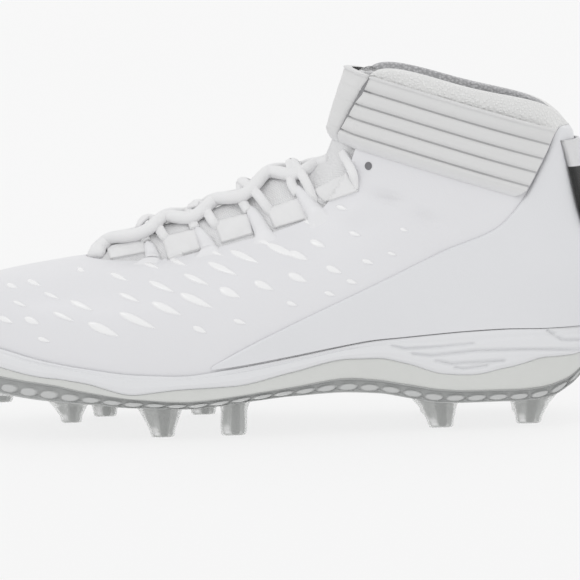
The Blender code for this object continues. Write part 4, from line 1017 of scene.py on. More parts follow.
def build_band(side):
    rows = [(0.0, 0.0012), (0.006, 0.0004), (0.016, -0.0004), (0.034, -0.0004), (0.048, 0.0002), (0.060, 0.0)]
    for share in BAND_GROOVES:
        rows += [
            (share - BAND_GROOVE_HALF * 1.3, 0.0),
            (share - BAND_GROOVE_HALF * 0.6, BAND_GROOVE_DEPTH * 0.9)
        ]
        rows += [(share, BAND_GROOVE_DEPTH), (share + BAND_GROOVE_HALF * 0.6, BAND_GROOVE_DEPTH * 0.9)]
        rows += [(share + BAND_GROOVE_HALF * 1.3, 0.0), (share + 0.06, -0.00008), (share + 0.12, -0.00008)]
    rows = sorted(row for row in rows if row[0] < 0.965)
    rows += [(0.975, 0.0), (0.992, 0.0001), (1.0, 0.0003)]
    steps = 96
    grid = np.empty((len(rows) + 2, steps + 1, 3))
    dark = np.zeros((len(rows) + 2, steps + 2))
    low = np.zeros((len(rows) + 2, steps + 2))
    for row, (share, sink) in enumerate(rows):
        down = BAND_TOP_DROP + share * BAND_SPAN
        centre, back = strap_frame(down)
        flat, support = ring_support(front_tree, down)
        slit = slit_angle(centre, back, flat, support)
        low[row + 1] = np.clip((share - 0.87) / 0.11, 0, 1)
        seat = STRAP_SEAT * (1 - 0.85 * np.clip((share - 0.88) / 0.12, 0, 1) ** 1.3)
        front = -side * slit + SLIT_HALF * (0.1 + 0.6 * math.sin(math.pi * share))
        end = strap_end(centre, back, flat, support)
        for step in range(steps + 1):
            part = step / steps
            angle = front + (end - front) * part
            thin = np.clip((part - STRAP_TAPER) / (1 - STRAP_TAPER), 0, 1)
            passed = math.degrees(angle - front)
            cut = np.clip(
                (passed - 44) / 6, 0, 1
            ) if side > 0 else 1 + 0.9 * math.exp(-(((passed - 2.5) / 1.6) ** 2))
            groove = sink * cut if sink > 0 and 0.05 < share < 0.96 else sink
            # groove bottoms are flagged for the painted dark grey shade of the grooves
            if sink > BAND_GROOVE_DEPTH * 0.8 and 0.05 < share < 0.96:
                dark[row + 1, step + 1] = min(cut, 1.0) if step else 0.0
            rounded = math.sqrt(min(1.0, step / 3))
            low_fade = 1 - 0.75 * np.clip((share - 0.87) / 0.13, 0, 1) ** 1.5
            thick = (STRAP + (OVERLAY - STRAP) * thin) * (0.35 + 0.65 * rounded) * low_fade - groove * (
                1 - thin * 0.5
            )
            direction = -back * math.cos(angle) + np.array([0.0, side * math.sin(angle), 0.0])
            turned = angle if side < 0 else -angle
            reach = ring_reach(flat, support, turned, seat + thick)
            grid[row + 1, step] = centre + direction * reach
            if row in (0, len(rows) - 1):
                under = centre + direction * ring_reach(flat, support, turned, seat - 0.0012)
                grid[0 if row == 0 else len(rows) + 1, step] = under
    low[-1] = 1.0
    under = grid[:, :1] * 1.0
    inward = grid[:, 1:2] * 0
    for row in range(grid.shape[0]):
        inward[row, 0] = (np.array([ANKLE_AXIS, 0.0, grid[row, 0, 2]]) - grid[row, 0])
        inward[row, 0] /= np.linalg.norm(inward[row, 0])
    return np.concatenate([under + inward * 0.0022, grid], axis=1), {"groove": dark, "low": low}


for side, word in ((-1, "outer"), (1, "inner")):
    band_grid, band_marks = build_band(side)
    band = grid_mesh(f"ankle_band_{word}", band_grid, band_weave, attributes=band_marks)
    settle(band, "strap_band", f"ankle_strap_{word}")


def build_slit():
    """Strip of grey mesh behind the slit between the two bands, darkened as painted shade of the gap."""
    grid = []
    for share in np.linspace(0.01, 0.90, 30):
        down = BAND_TOP_DROP + share * BAND_SPAN
        centre, back = strap_frame(down)
        flat, support = ring_support(front_tree, down)
        slit = slit_angle(centre, back, flat, support)
        row = []
        for turn in slit + SLIT_HALF * 1.9 * np.linspace(-1, 1, 7):
            direction = -back * math.cos(turn) - np.array([0.0, math.sin(turn), 0.0])
            row.append(centre + direction * ring_reach(flat, support, turn, STRAP_SEAT + 0.0003))
        grid.append(row)
    return np.array(grid)


settle(grid_mesh("slit_mesh", build_slit(), slit_knit), "strap_band")


# Pieces laid on the shoe by pixels of the photograph
def throat_middle(x):
    """Sideways place of the middle of the throat at a place along the shoe."""
    alongs = [row.along * LENGTH for row in EDGE[:11]]
    middles = [(row.inner - row.outer) / 2 for row in EDGE[:11]]
    return np.interp(x, alongs, middles)


def to_other_side(points):
    """The same places on the inner side of the throat."""
    mirrored = points.copy()
    mirrored[..., 1] = 2 * throat_middle(points[..., 0]) - points[..., 1]
    return mirrored


def quad_points(corners, rows, columns):
    """Pixels inside four corners: lower left, lower right, upper right, upper left."""
    low_left, low_right, high_right, high_left = (np.array(corner, float) for corner in corners)
    up = np.linspace(0, 1, rows)[:, None, None]
    across = np.linspace(0, 1, columns)[None, :, None]
    low = low_left + (low_right - low_left) * across
    high = high_left + (high_right - high_left) * across
    return low + (high - low) * up


def cast_sheet(name, corners, lift, thick, material, slot, rows=14, columns=22):
    """Thin sheet over the tongue, held by its four photographed corners, and its twin on the inner side."""
    pixels = quad_points(corners, rows, columns)
    grid = np.empty((rows, columns, 3))
    normal = np.empty((rows, columns, 3))
    for row in range(rows):
        for column in range(columns):
            grid[row, column], normal[row, column] = cast_below(front_tree, *pixels[row, column])
    edge = np.ones((rows, columns))
    edge[-1] = 0.25
    edge[:, 0] = edge[:, -1] = 0.25
    top = grid + normal * (lift + thick * edge)[..., None]
    skirt = grid - normal * 0.0004
    made = []
    for twin in (False, True):
        face = to_other_side(top) if twin else top
        base = to_other_side(skirt) if twin else skirt
        ring = np.concatenate([base[:1], face, base[-1:]])
        side_a = np.concatenate([base[:1, :1], base[:, :1], base[-1:, :1]])
        side_b = np.concatenate([base[:1, -1:], base[:, -1:], base[-1:, -1:]])
        sheet = np.concatenate([side_a, ring, side_b], axis=1)
        item = grid_mesh(f"{name}_{'inner' if twin else 'outer'}", sheet, material)
        made.append(settle(item, slot))
    return made


WINDOWS = (
    ((110.5, 260.0), (148.0, 252.5), (144.0, 240.0), (106.0, 247.0)),
    ((168.0, 260.5), (202.0, 250.0), (196.5, 228.5), (161.5, 237.0)),
    ((221.6, 243.9), (254.5, 234.3), (248.0, 213.3), (213.8, 221.5)),
    ((275.0, 229.0), (309.0, 218.8), (299.4, 197.6), (265.5, 209.0)),
    ((324.6, 203.0), (358.6, 191.3), (348.0, 172.4), (313.0, 190.0)),
)
for number, corners in enumerate(WINDOWS):
    cast_sheet(f"throat_web_{number + 1}", corners, 0.0002, 0.0009, window_weave, "white_knit")


# Finger loops: tapered tongues of the quarter, each with a cord link round the lace
def build_finger(side, root, tip):
    rows_foot = (0.900, 0.925, 0.950, 0.975, 1.0)
    run = np.linalg.norm(around(EDGE_RING, root + 0.5) - around(EDGE_RING, root - 0.5))
    parts = np.linspace(-1, 1, 13)
    crown = np.sqrt(np.clip(1 - np.abs(parts) ** 2.6, 0, 1))
    lines = []
    for up in rows_foot:
        share = (up - rows_foot[0]) / (1 - rows_foot[0])
        flare = 1.45 - 0.45 * share
        line_points = []
        for part, dome in zip(parts, crown):
            foot = root + part * flare * LOOP_ROOT_WIDTH / 2 / run
            at = foot if side < 0 else RING_COUNT - foot
            lift = (
                share**1.2 * (SEAT + LOOP_THICKNESS * 0.9) * dome
                - 0.0004 * (1 - dome)
                - 0.00025 * (1 - share)
            )
            line_points.append(offset_skin([at], [up], np.array([[lift]]))[0, 0])
        lines.append(line_points)
    for share in np.linspace(0.08, 1.0, 15):
        width = LOOP_ROOT_WIDTH + (LOOP_TIP_WIDTH - LOOP_ROOT_WIDTH) * share ** 0.8
        width *= math.sqrt(max(0.0, 1 - max(0.0, (share - 0.86) / 0.16) ** 2))
        step_up = np.interp(share, [0, 0.22, 0.5, 1.0], [1.0, 1.0, 0.45, 0.0])
        line_points = []
        for part, dome in zip(parts, crown):
            here = root + (tip - root) * share + part * width / 2 / run
            lane = 1.0 + LOOP_REACH * share
            lane = lane if side < 0 else 4.0 - lane
            lift = SEAT + (UPPER_WALL + TONGUE_SEAT) * step_up
            lift = lift * (0.2 + 0.8 * dome) + LOOP_THICKNESS * dome
            line_points.append(tongue_point(here, lane, lift))
        lines.append(line_points)
    return np.array(lines)


for side, word in ((-1, "outer"), (1, "inner")):
    for number, (root, tip) in enumerate(zip(LOOP_ROOTS, LOOP_TIPS)):
        finger = grid_mesh(f"finger_{word}_{number + 1}", build_finger(side, root, tip), finger_skin)
        settle(finger, "white_synthetic", f"lace_loop_{word}_{number + 1}")


def smooth_line(points, per=8):
    points = np.asarray(points, float)
    knots = np.arange(len(points))
    return natural_spline(knots, points, np.linspace(0, len(points) - 1, (len(points) - 1) * per + 1))


def cord_mesh(name, route, wide, tall, material, sides=18, closed=False, normals=None, taper=None):
    """Oval cord along a route; its flat side faces the given normals."""
    route = np.asarray(route, float)
    count = len(route)
    ahead = np.roll(route, -1, axis=0) - np.roll(route, 1, axis=0) if closed else np.gradient(route, axis=0)
    ahead /= np.linalg.norm(ahead, axis=1)[:, None]
    if normals is None:
        normals = np.repeat(np.array([[0.0, 0.0, 1.0]]), count, axis=0)
    across = np.cross(normals, ahead)
    across /= np.linalg.norm(across, axis=1)[:, None]
    upward = np.cross(ahead, across)
    size = np.ones(count) if taper is None else np.asarray(taper)
    angles = np.arange(sides) / sides * 2 * math.pi
    rings = (
        route[:, None]
        + across[:, None] * (np.cos(angles)[None, :] * wide / 2 * size[:, None])[..., None]
        + upward[:, None] * (np.sin(angles)[None, :] * tall / 2 * size[:, None])[..., None]
    )
    if closed:
        rings = np.concatenate([rings, rings[:1]])
    return grid_mesh(name, rings, material, wrap=True, ends=not closed)


def cast_route(pixels, lift, per=8):
    """Route over the front of the shoe through photographed pixels, each with its own lift in mm."""
    places = []
    directions = []
    for (px, py), up in zip(pixels, lift):
        found = cast_below(front_tree, px, py)
        places.append(found[0] + found[1] * up * 0.001)
        directions.append(found[1])
    return smooth_line(places, per), smooth_line(directions, per)


LINK = 0.0044
LINKS = (
    (
        ((146.5, 242.0), (143.5, 231.0), (144.0, 222.5), (147.5, 218.5)),
        ((149.5, 219.0), (156.0, 226.0), (163.0, 234.5), (167.0, 239.0))
    ),
    (
        ((195.5, 229.5), (192.5, 218.5), (193.0, 209.5), (196.5, 205.0)),
        ((198.5, 205.5), (205.5, 212.5), (213.0, 221.5), (217.0, 226.5))
    ),
    (
        ((249.5, 212.0), (243.5, 201.5), (243.5, 192.5), (247.0, 188.0)),
        ((250.0, 188.5), (258.5, 196.5), (266.5, 206.5), (270.5, 212.5))
    ),
    (
        ((298.5, 194.5), (292.5, 185.0), (291.5, 176.5), (295.0, 172.0)),
        ((298.5, 172.5), (306.5, 179.5), (312.0, 191.5), (314.5, 203.0))
    ),
)
for number, legs in enumerate(LINKS):
    route, normals = cast_route(legs[0] + legs[1][1:], (0.9, 2.3, 3.8, 5.2, 4.2, 2.0, -0.8))
    for twin in (False, True):
        path = to_other_side(route) if twin else route
        facing = normals * np.array([1, -1, 1]) if twin else normals
        side = "inner" if twin else "outer"
        cord = cord_mesh(f"link_{side}_{number + 1}", path, LINK, LINK * 0.62, lace_weave, normals=facing)
        settle(cord, "white_synthetic")


# Lace: two strands that cross over the tongue, and a bar in front
def lace_line(stops, lift):
    knots = np.arange(len(stops))
    fine = np.linspace(0, len(stops) - 1, (len(stops) - 1) * 14 + 1)
    places = natural_spline(knots, stops, fine)
    heights = natural_spline(knots, np.array(lift)[:, None], fine)[:, 0]
    route = np.array([tongue_point(s, lane, up) for (s, lane), up in zip(places, heights)])
    above = np.array([tongue_point(s, lane, up + 0.001) for (s, lane), up in zip(places, heights)])
    return route, (above - route) / 0.001


rows = (LACE_FRONT, *LOOP_TIPS, LACE_END)
lanes = (1.0 + LACE_LANE, 3.0 - LACE_LANE)
base_lift = LACE / 2 + 0.0007
LACE_TUCK = -0.0024
for first in (0, 1):
    stops = [(station, lanes[(first + number) % 2]) for number, station in enumerate(rows)]
    middle_lift = 0.0007 if first else 0.0
    lifts = [base_lift + middle_lift] * (len(stops) - 1) + [LACE_TUCK]
    route, facing = lace_line(stops, lifts)
    strand = cord_mesh(
        f"lace_strand_{first + 1}", route, LACE * 1.38, LACE * 1.26, lace_weave, 20, normals=facing
    )
    settle(strand, "white_lace", *(("lace",) if first == 0 else ()))
bar_stops = [(LACE_FRONT, lanes[0] - 0.45), (LACE_FRONT - 0.05, 2.0), (LACE_FRONT, lanes[1] + 0.45)]
route, facing = lace_line(bar_stops, [base_lift * 0.4, base_lift, base_lift * 0.4])
bar_size = np.interp(
    np.linspace(0, 1, len(route)), [0, 0.05, 0.15, 0.3, 0.7, 0.85, 0.95, 1],
    [0.30, 0.62, 0.88, 1, 1, 0.88, 0.62, 0.30]
)
settle(
    cord_mesh("lace_front", route, LACE * 2.3, LACE * 1.55, lace_weave, 24, normals=facing, taper=bar_size),
    "white_lace"
)

# end of the lace that runs down beside the top eyelet
tail_pixels = ((344.5, 152.5), (348.5, 160.0), (352.5, 170.0), (355.5, 180.0), (357.5, 189.5))
route, facing = cast_route(tail_pixels, (2.2, 2.4, 2.2, 1.6, 0.6))
tail_size = np.interp(np.linspace(0, 1, len(route)), [0, 0.2, 0.7, 1], [0.9, 1.0, 0.95, 0.35])
for twin in (False, True):
    path = to_other_side(route) if twin else route
    turned = facing * np.array([1, -1, 1]) if twin else facing
    word = "inner" if twin else "outer"
    settle(
        cord_mesh(f"lace_tail_{word}", path, 0.0042, 0.0022, lace_weave, 16, normals=turned, taper=tail_size),
        "white_lace"
    )


# Raised glossy marks over vamp and quarter, their lighter colour partly a painted highlight
MARKS = (
    (12, 286, 12, 5), (20, 304, 16, 4), (32, 321, 17, 7), (52, 296, 18, 4), (64, 317, 25, 5), (
        82, 306, 27, 6
    ),
    (104, 330, 36, 9), (81, 270, 8, 5), (119, 277, 20, 5), (130, 298, 25, 5), (138, 321, 42, 8), (
        151, 265, 20, 5
    ),
    (162, 287, 30, 6), (167, 309, 34, 8), (197, 280, 30, 6), (197, 301, 38, 8), (223, 269, 34, 7), (
        230, 293, 24, 9
    ),
    (245, 257, 34, 7), (264, 286, 22, 8), (283, 251, 38, 8), (240, 322, 14, 5), (299, 256, 22, 8), (
        318, 244, 18, 7
    ),
    (298, 278, 22, 8), (334, 270, 18, 7), (355, 234, 13, 5), (342, 208, 13, 5), (368, 262, 13, 5), (
        310, 223, 16, 5
    ),
    (34, 283, 16, 5), (6, 320, 16, 6), (44, 340, 14, 5), (178, 262, 20, 5), (214, 252, 22, 5), (
        262, 241, 24, 6
    ),
    (392, 254, 10, 4), (404, 230, 9, 4), (330, 294, 12, 5), (352, 282, 12, 5), (292, 304, 12, 5), (
        200, 330, 16, 6
    ),
)
MARK_LEAN = 24
MARK_LEVELS = ((1.0, -0.10), (0.93, 0.16), (0.80, 0.34), (0.58, 0.44), (0.30, 0.50))
MARK_SIDES = 28


def mark_outline(long, wide):
    """Leaf shape, sharp at both ends and fullest before its middle, as pixels about its centre."""
    points = []
    for step in range(MARK_SIDES):
        angle = 2 * math.pi * step / MARK_SIDES
        along = math.cos(angle)
        share = (along + 1) / 2
        half = 2.9 * share**0.62 * (1 - share) ** 1.05
        points.append((
            along * long / 2,
            math.copysign(half, math.sin(angle)) * wide / 2 if step % (MARK_SIDES // 2) else 0.0
        ))
    return np.array(points)


side_index = KDTree(COLUMNS * OUTER_ROWS)
for row in range(OUTER_ROWS):
    for column in range(COLUMNS):
        side_index.insert(Vector(shell_grid[row, column]), row * COLUMNS + column)
side_index.balance()


def twin_on_skin(place, normal):
    """The place on the inner side with the same station and height share as one on the outer side."""
    _, index, _ = side_index.find(Vector(place))
    row, column = divmod(index, COLUMNS)
    other = (COLUMNS - column) % COLUMNS
    here, there = shell_grid[row, column], shell_grid[row, other]
    off = place - here
    return there + off * np.array([1, -1, 1]), normal * np.array([1, -1, 1])


def add_mark(bm, px, py, long, wide, twin):
    lean = math.radians(MARK_LEAN if long > 15 else MARK_LEAN - 6)
    outline = mark_outline(long, wide)
    spin = np.array([[math.cos(lean), math.sin(lean)], [-math.sin(lean), math.cos(lean)]])
    loops = []
    for scale, lift in MARK_LEVELS + ((0.0, 0.52),):
        ring = []
        for point in (outline * scale) @ spin if scale else np.zeros((1, 2)):
            found = cast(shell_tree, px + point[0], py + point[1])
            if found is None:
                return
            place, normal = found
            if twin:
                place, normal = twin_on_skin(place, normal)
                snapped = shell_tree.find_nearest(Vector(place + SHIFT))
                place = np.array(snapped[0]) - SHIFT
            ring.append(bm.verts.new(Vector(place + SHIFT + normal * lift * 0.001)))
        loops.append(ring)
    for first, second in zip(loops, loops[1:-1]):
        for number in range(MARK_SIDES):
            after = (number + 1) % MARK_SIDES
            bm.faces.new((first[number], first[after], second[after], second[number]))
    for number in range(MARK_SIDES):
        bm.faces.new((loops[-2][number], loops[-2][(number + 1) % MARK_SIDES], loops[-1][0]))


for twin, word in ((False, "outer"), (True, "inner")):
    bm = bmesh.new()
    for px, py, long, wide in MARKS:
        add_mark(bm, px, py, long, wide, twin)
    bmesh.ops.recalc_face_normals(bm, faces=bm.faces)
    mesh = bpy.data.meshes.new(f"raised_marks_{word}")
    bm.to_mesh(mesh)
    bm.free()
    mesh.shade_smooth()
    mesh.materials.append(mark_skin)
    marks = bpy.data.objects.new(f"raised_marks_{word}", mesh)
    bpy.context.scene.collection.objects.link(marks)
    settle(marks, "white_synthetic")


# Sole: foam, clear plate with its sidewall and ribs, and the studs
SOLE_COLUMNS = 560


def sole_stations(count=SOLE_COLUMNS):
    return np.arange(count) / count * RING_COUNT


def sole_rows(profile, at):
    """Rows of points round the sole from pairs of inset and height."""
    outline = plan_loop(at)
    grid = []
    for inset, height in profile:
        points = plan_loop(at, inset)
        points[:, 2] = height(outline[:, 0]) if callable(height) else height
        grid.append(points)
    return np.array(grid)


# Fine trim of the sole's lines over the solid, by place along the shoe in mm: height in mm
SOLE_TRIM = {
    "bottom": (
        (20, 0.5), (43, 1.6), (74, 3.2), (96, 2.6), (115, 1.8), (128, 2.2), (139, 2.8), (155, 3.0),
        (180, 2.2), (200, 1.2), (215, 0.4), (250, 0.6), (265, 0)
    ),
    "plate_top": (
        (20, 0.5), (30, 0.8), (56, 3.2), (96, 3.2), (125, 2.5), (143, 2.5), (180, 1.7), (205, 1.0),
        (236, 1.4), (255, 1.2), (268, 0)
    ),
    "foam": (
        (20, 0.3), (56, 2.1), (74, 1.0), (96, 1.8), (125, 1.9), (155, 1.9), (180, 1.5), (205, 1.2),
        (236, 1.4), (250, 1.0), (262, 0)
    ),
}


def trimmed_height(name, along):
    """Height of a line of the sole with its fine trim."""
    height = side_height(name, along)
    if name in SOLE_TRIM:
        places, lifts = np.array(SOLE_TRIM[name]).T
        height = height + np.interp(np.asarray(along) * 1000, places, lifts) * 0.001
    return height


def sole_line(name, lift=0.0):
    return lambda along: trimmed_height(name, along) + lift


def sole_between(low, high, share):
    return lambda along: trimmed_height(low, along) * (1 - share) + trimmed_height(high, along) * share


def polyline_distance(points, lines):
    """Distance in pixels from each point to the nearest of several broken lines."""
    best = np.full(points.shape[:-1], 1e9)
    for line_points in lines:
        for start, stop in zip(line_points, line_points[1:]):
            start, stop = np.array(start, float), np.array(stop, float)
            run = stop - start
            part = np.clip(((points - start) @ run) / (run @ run), 0, 1)
            gap = np.linalg.norm(points - start - part[..., None] * run, axis=-1)
            best = np.minimum(best, gap)
    return best


def photo_side(grid):
    """Pixels of the photographed side for a grid right round the shoe, the inner side mirrored onto it."""
    near = grid.copy()
    near[..., 1] = -np.abs(near[..., 1])
    return photo_pixels(near + SHIFT)


FOAM_GROOVES = (
    ((392, 346), (405, 349), (440, 347), (474, 344)),
    ((412, 354), (431, 356), (476, 351), (530, 349.5), (580, 349.5), (612, 351)),
    ((437, 361), (450, 364), (504, 361)),
    ((456, 367.5), (463, 369), (487, 366)),
    ((548, 330), (556, 336), (563, 340), (580, 340), (606, 341)),
)
FOAM_LINE = (
    (0, 355), (43, 365), (93, 372.5), (158, 378), (199, 376), (242, 370.5), (290, 362), (330, 353),
    (360, 345)
)


def build_foam():
    at = sole_stations()
    tray = SIDEWALL + GAP
    profile = [
        (tray + 0.0034, sole_line("bottom", PLATE + GAP)), (tray, sole_line("foam", GAP)),
        (0.0003, sole_line("foam", 0.0001))
    ]
    shares = np.linspace(0.04, 0.985, 34)
    bulge = np.interp(
        shares, [0, 0.12, 0.35, 0.72, 0.80, 0.90, 1.0],
        [0.0001, -0.0008, -0.0012, -0.0008, 0.0, 0.0, 0.0005]
    )
    profile += [(inset, sole_between("foam", "bite", share)) for share, inset in zip(shares, bulge)]
    profile += [(0.0006, sole_line("bite")), (0.0010, sole_line("bite", -0.0001))]
    grid = sole_rows(profile, at)
    foot = skin(at, [0.0])[:, 0]
    rise = around(EDGE_RING, at)[:, 2] - foot[:, 2]
    wall = skin(at, [0.0, 0.03])
    direction = outward(at, [0.0, 0.03])
    share = (0.8 * RIM_DEPTH / rise / 0.03)[:, None]
    rim = wall[:, 0] * (1 - share) + wall[:, 1] * share + direction[:, 1] * SEAT * 0.6
    rim[:, 2] = side_height("bite", plan_loop(at)[:, 0]) - 0.0006
    deep = rim.copy()
    deep[:, 2] -= 0.0016
    grid = np.concatenate([grid, rim[None], deep[None]])
    ahead = plan_loop(at + 0.02) - plan_loop(at - 0.02)
    ahead /= np.linalg.norm(ahead, axis=1)[:, None]
    inward = np.stack([-ahead[:, 1], ahead[:, 0], np.zeros(len(at))], axis=1)
    pixels = photo_side(grid)
    near = np.abs(inward[:, 1])[None, :] ** 0.5
    gap = polyline_distance(pixels, FOAM_GROOVES)
    depth = 0.0014 * np.exp(-((gap / 1.6) ** 2))
    fine = polyline_distance(pixels, (FOAM_LINE,))
    depth += 0.00025 * np.exp(-((fine / 1.2) ** 2))
    depth[:3] = 0
    depth[-4:] = 0
    return grid + inward[None] * (depth * near)[..., None]


foam_skin, foam_shader = shader_of("midsole_foam", (0.745, 0.75, 0.765), 0.50, Coat_Weight=0.1)
bump_of(foam_skin, foam_shader, noise_of(foam_skin, 700, 3), 0.00006, 0.6)
foam = grid_mesh("midsole_foam", build_foam(), foam_skin, wrap=True)
settle(foam, "white_foam", "midsole")


def clear_material(name, tint, roughness, transmission, depth_tint):
    """Cloudy clear plastic: part of the light goes through, the rest is scattered under a gloss coat."""
    material, shader = shader_of(
        name, tint, roughness,
        Transmission_Weight=transmission, IOR=1.46, Coat_Weight=0.5, Coat_Roughness=0.08,
    )
    cloud = noise_of(material, 140, 3, 0.6)
    wire(material, mixed(material, cloud, depth_tint, tint), shader.inputs["Base Color"])
    bump_of(material, shader, noise_of(material, 420, 2, 0.5), 0.00012, 0.5)
    return material


sidewall_clear = clear_material("sidewall_clear", (0.735, 0.745, 0.725), 0.30, 0.12, (0.70, 0.71, 0.69))
plate_clear = clear_material("plate_clear", (0.50, 0.51, 0.505), 0.24, 0.25, (0.44, 0.45, 0.445))
tint_where(plate_clear, attribute_of(plate_clear, "pale"), (0.68, 0.69, 0.685))
stud_clear = clear_material("stud_clear", (0.60, 0.61, 0.60), 0.22, 0.45, (0.50, 0.51, 0.50))
# Painted light: a near-white patch near each stud's tip stands in for the bright backdrop showing through the clear
# plastic
tint_where(stud_clear, attribute_of(stud_clear, "window"), (0.95, 0.95, 0.95))
stud_core_skin = clear_material("stud_core", (0.34, 0.35, 0.345), 0.30, 0.10, (0.28, 0.29, 0.285))


def build_sidewall():
    at = sole_stations()
    profile = [(0.0004, sole_line("plate_top", 0.0002))]
    for share, bulge in zip(
        np.linspace(0.03, 1.0, 14), (0, -2, -3, -3, -3, -2.5, -2, -2, -1.5, -1, -1, -0.5, 0, 1)
    ):
        profile.append((bulge * 0.0001, sole_between("plate_top", "foam", share)))
    profile += [
        (SIDEWALL * 0.5, sole_line("foam", 0.0002)), (SIDEWALL, sole_line("foam", -0.0002)),
        (SIDEWALL, sole_line("foam", -0.002))
    ]
    return sole_rows(profile, at)


sidewall = grid_mesh("sole_sidewall", build_sidewall(), sidewall_clear, wrap=True)
settle(sidewall, "clear_plate", "outsole")


CELL_PITCH = 0.0094


def build_plate():
    """Plate band round the sole: a dark channel under the sidewall, then long pale cells and a pale lower edge."""
    at = sole_stations(1120)
    outline = plan_loop(at)
    length = np.concatenate([[0], np.cumsum(np.linalg.norm(np.diff(outline, axis=0), axis=1))])
    shares = np.linspace(0, 1, 18)
    profile = [(0.0034, sole_line("bottom", 0.0)), (0.0016, sole_line("bottom", 0.0))]
    profile += [(0.0, sole_between("bottom", "plate_top", share)) for share in shares]
    profile += [(0.0004, sole_line("plate_top", 0.0006)), (0.0012, sole_line("plate_top", 0.0006))]
    grid = sole_rows(profile, at)
    ahead = plan_loop(at + 0.02) - plan_loop(at - 0.02)
    ahead /= np.linalg.norm(ahead, axis=1)[:, None]
    inward = np.stack([-ahead[:, 1], ahead[:, 0], np.zeros(len(at))], axis=1)
    phase = np.mod(length / CELL_PITCH, 1.0) - 0.5
    pale = np.zeros(grid.shape[:2])
    pale[:2] = 0.7
    for number, share in enumerate(shares):
        skewed = phase - (share - 0.38) * 0.35
        cell = 1.35 - (np.abs(skewed) / 0.40) ** 2.6 - (abs(share - 0.38) / 0.24) ** 2.6
        cell = np.clip(cell * 1.6, 0, 1)
        foot = math.exp(-((share / 0.09) ** 2))
        lip = math.exp(-(((share - 0.97) / 0.05) ** 2))
        raised = np.clip(cell * 0.8 + foot + lip, 0, 1)
        pale[number + 2] = np.clip(cell + foot * 0.8, 0, 1)
        grid[number + 2] += inward * (0.0011 - (0.0011 + PLATE_STEP * 0.9) * raised)[:, None]
    return grid, {"pale": pale}


plate_grid, plate_marks = build_plate()
plate = grid_mesh("sole_plate", plate_grid, plate_clear, wrap=True, attributes=plate_marks)
settle(plate, "clear_plate")


def build_underside():
    """Underside of the plate, from side to side, with long ribs and a shallow arch."""
    lanes = 61
    along = np.linspace(0.006, 0.988, 320) * LENGTH
    grid = np.empty((len(along), lanes, 3))
    low = np.array([[side_station_of_plan(x, side) for side in (-1, 1)] for x in along])
    for number, x in enumerate(along):
        left, right = plan_loop(low[number], 0.0030)
        across = np.linspace(0, 1, lanes)[:, None]
        grid[number] = left + (right - left) * across
    share = np.abs(np.linspace(-1, 1, lanes))[None, :]
    height = trimmed_height("bottom", grid[..., 0].reshape(-1)).reshape(grid.shape[:2])
    arch = np.interp(along / LENGTH, [0.48, 0.60, 0.70, 0.78], [0, 1, 1, 0])[:, None]
    hollow = 0.0014 * (1 - share**2) * arch
    sweep = grid[..., 0] * 0.9 + np.abs(grid[..., 1]) * 0.8
    ribs = np.exp(-((((np.mod(sweep / 0.0115, 1.0)) - 0.5) / 0.11) ** 2))
    other = grid[..., 0] * 0.9 - np.abs(grid[..., 1]) * 0.8
    ribs = np.maximum(ribs, np.exp(-((((np.mod(other / 0.0115, 1.0)) - 0.5) / 0.11) ** 2)))
    fade = np.clip((1 - share) / 0.06, 0, 1)
    grid[..., 2] = height + hollow + 0.0007 - 0.0009 * ribs * fade
    return grid, {"pale": 0.35 + 0.5 * ribs * fade}


underside_grid, underside_marks = build_underside()
underside = grid_mesh("sole_underside", underside_grid, plate_clear, attributes=underside_marks)
settle(underside, "clear_plate")


def stud_rings(stud, rings=26, sides=44, squeeze=(1.0, 1.0), stop=1.0, behind=0.0):
    """Rings of a blade stud from its root inside the plate to its tip."""
    along = stud.along * LENGTH
    edge = plan_loop([side_station_of_plan(along, stud.side)])[0]
    across = edge[1] - stud.side * (stud.inset + STUD_ROOT_WIDTH / 2)
    bottom = float(trimmed_height("bottom", along))
    tip = stud.floor * STUD_HEIGHT
    levels = np.array([
        bottom + 0.0016, bottom + 0.0002, bottom - 0.0012, bottom * 0.72 + tip * 0.28, tip + 0.0030,
        tip + 0.0010, tip + 0.0002, tip
    ])
    long = np.array([
        stud.root * 1.18, stud.root * 1.12, stud.root, stud.root / STUD_FLARE, stud.tip * 1.10,
        stud.tip * 1.04, stud.tip * 0.96, stud.tip * 0.80
    ])
    wide = np.array([1.12, 1.08, 1.0, 1 / STUD_FLARE, 0.66, 0.56, 0.50, 0.36]) * STUD_ROOT_WIDTH
    shift = np.array([0.0, 0.0, 0.0, 0.35, 0.9, 0.95, 1.0, 1.0]) * stud.lean * LENGTH
    spots = np.linspace(0, len(levels) - 1, rings)
    spots = spots[spots <= (len(levels) - 1) * stop + 1e-6]
    grid = []
    window = []
    for spot in spots:
        height, size_x, size_y, move = (np.interp(spot, np.arange(len(levels)), row) for row in (
            levels, long * LENGTH, wide, shift
        ))
        angle = 2 * math.pi * (np.arange(sides) + 0.5) / sides
        round_x = np.copysign(
            np.abs(np.cos(angle)) ** 0.62, np.cos(angle)
        ) * size_x / 2 * squeeze[0] + behind * size_x
        round_y = np.copysign(np.abs(np.sin(angle)) ** 0.62, np.sin(angle)) * size_y / 2 * squeeze[1]
        grid.append(np.stack([along + move + round_x, across + round_y, np.full(sides, height)], axis=1))
        # band near the tip, at one end of the blade, that gets the painted light patch
        risen = np.clip(1 - abs((height - tip - 0.0028) / 0.0019) ** 4, 0, 1)
        window.append(risen * np.clip(1 - np.abs((round_x / size_x + 0.27) / 0.13) ** 4, 0, 1))
    return np.array(grid), {"window": window}


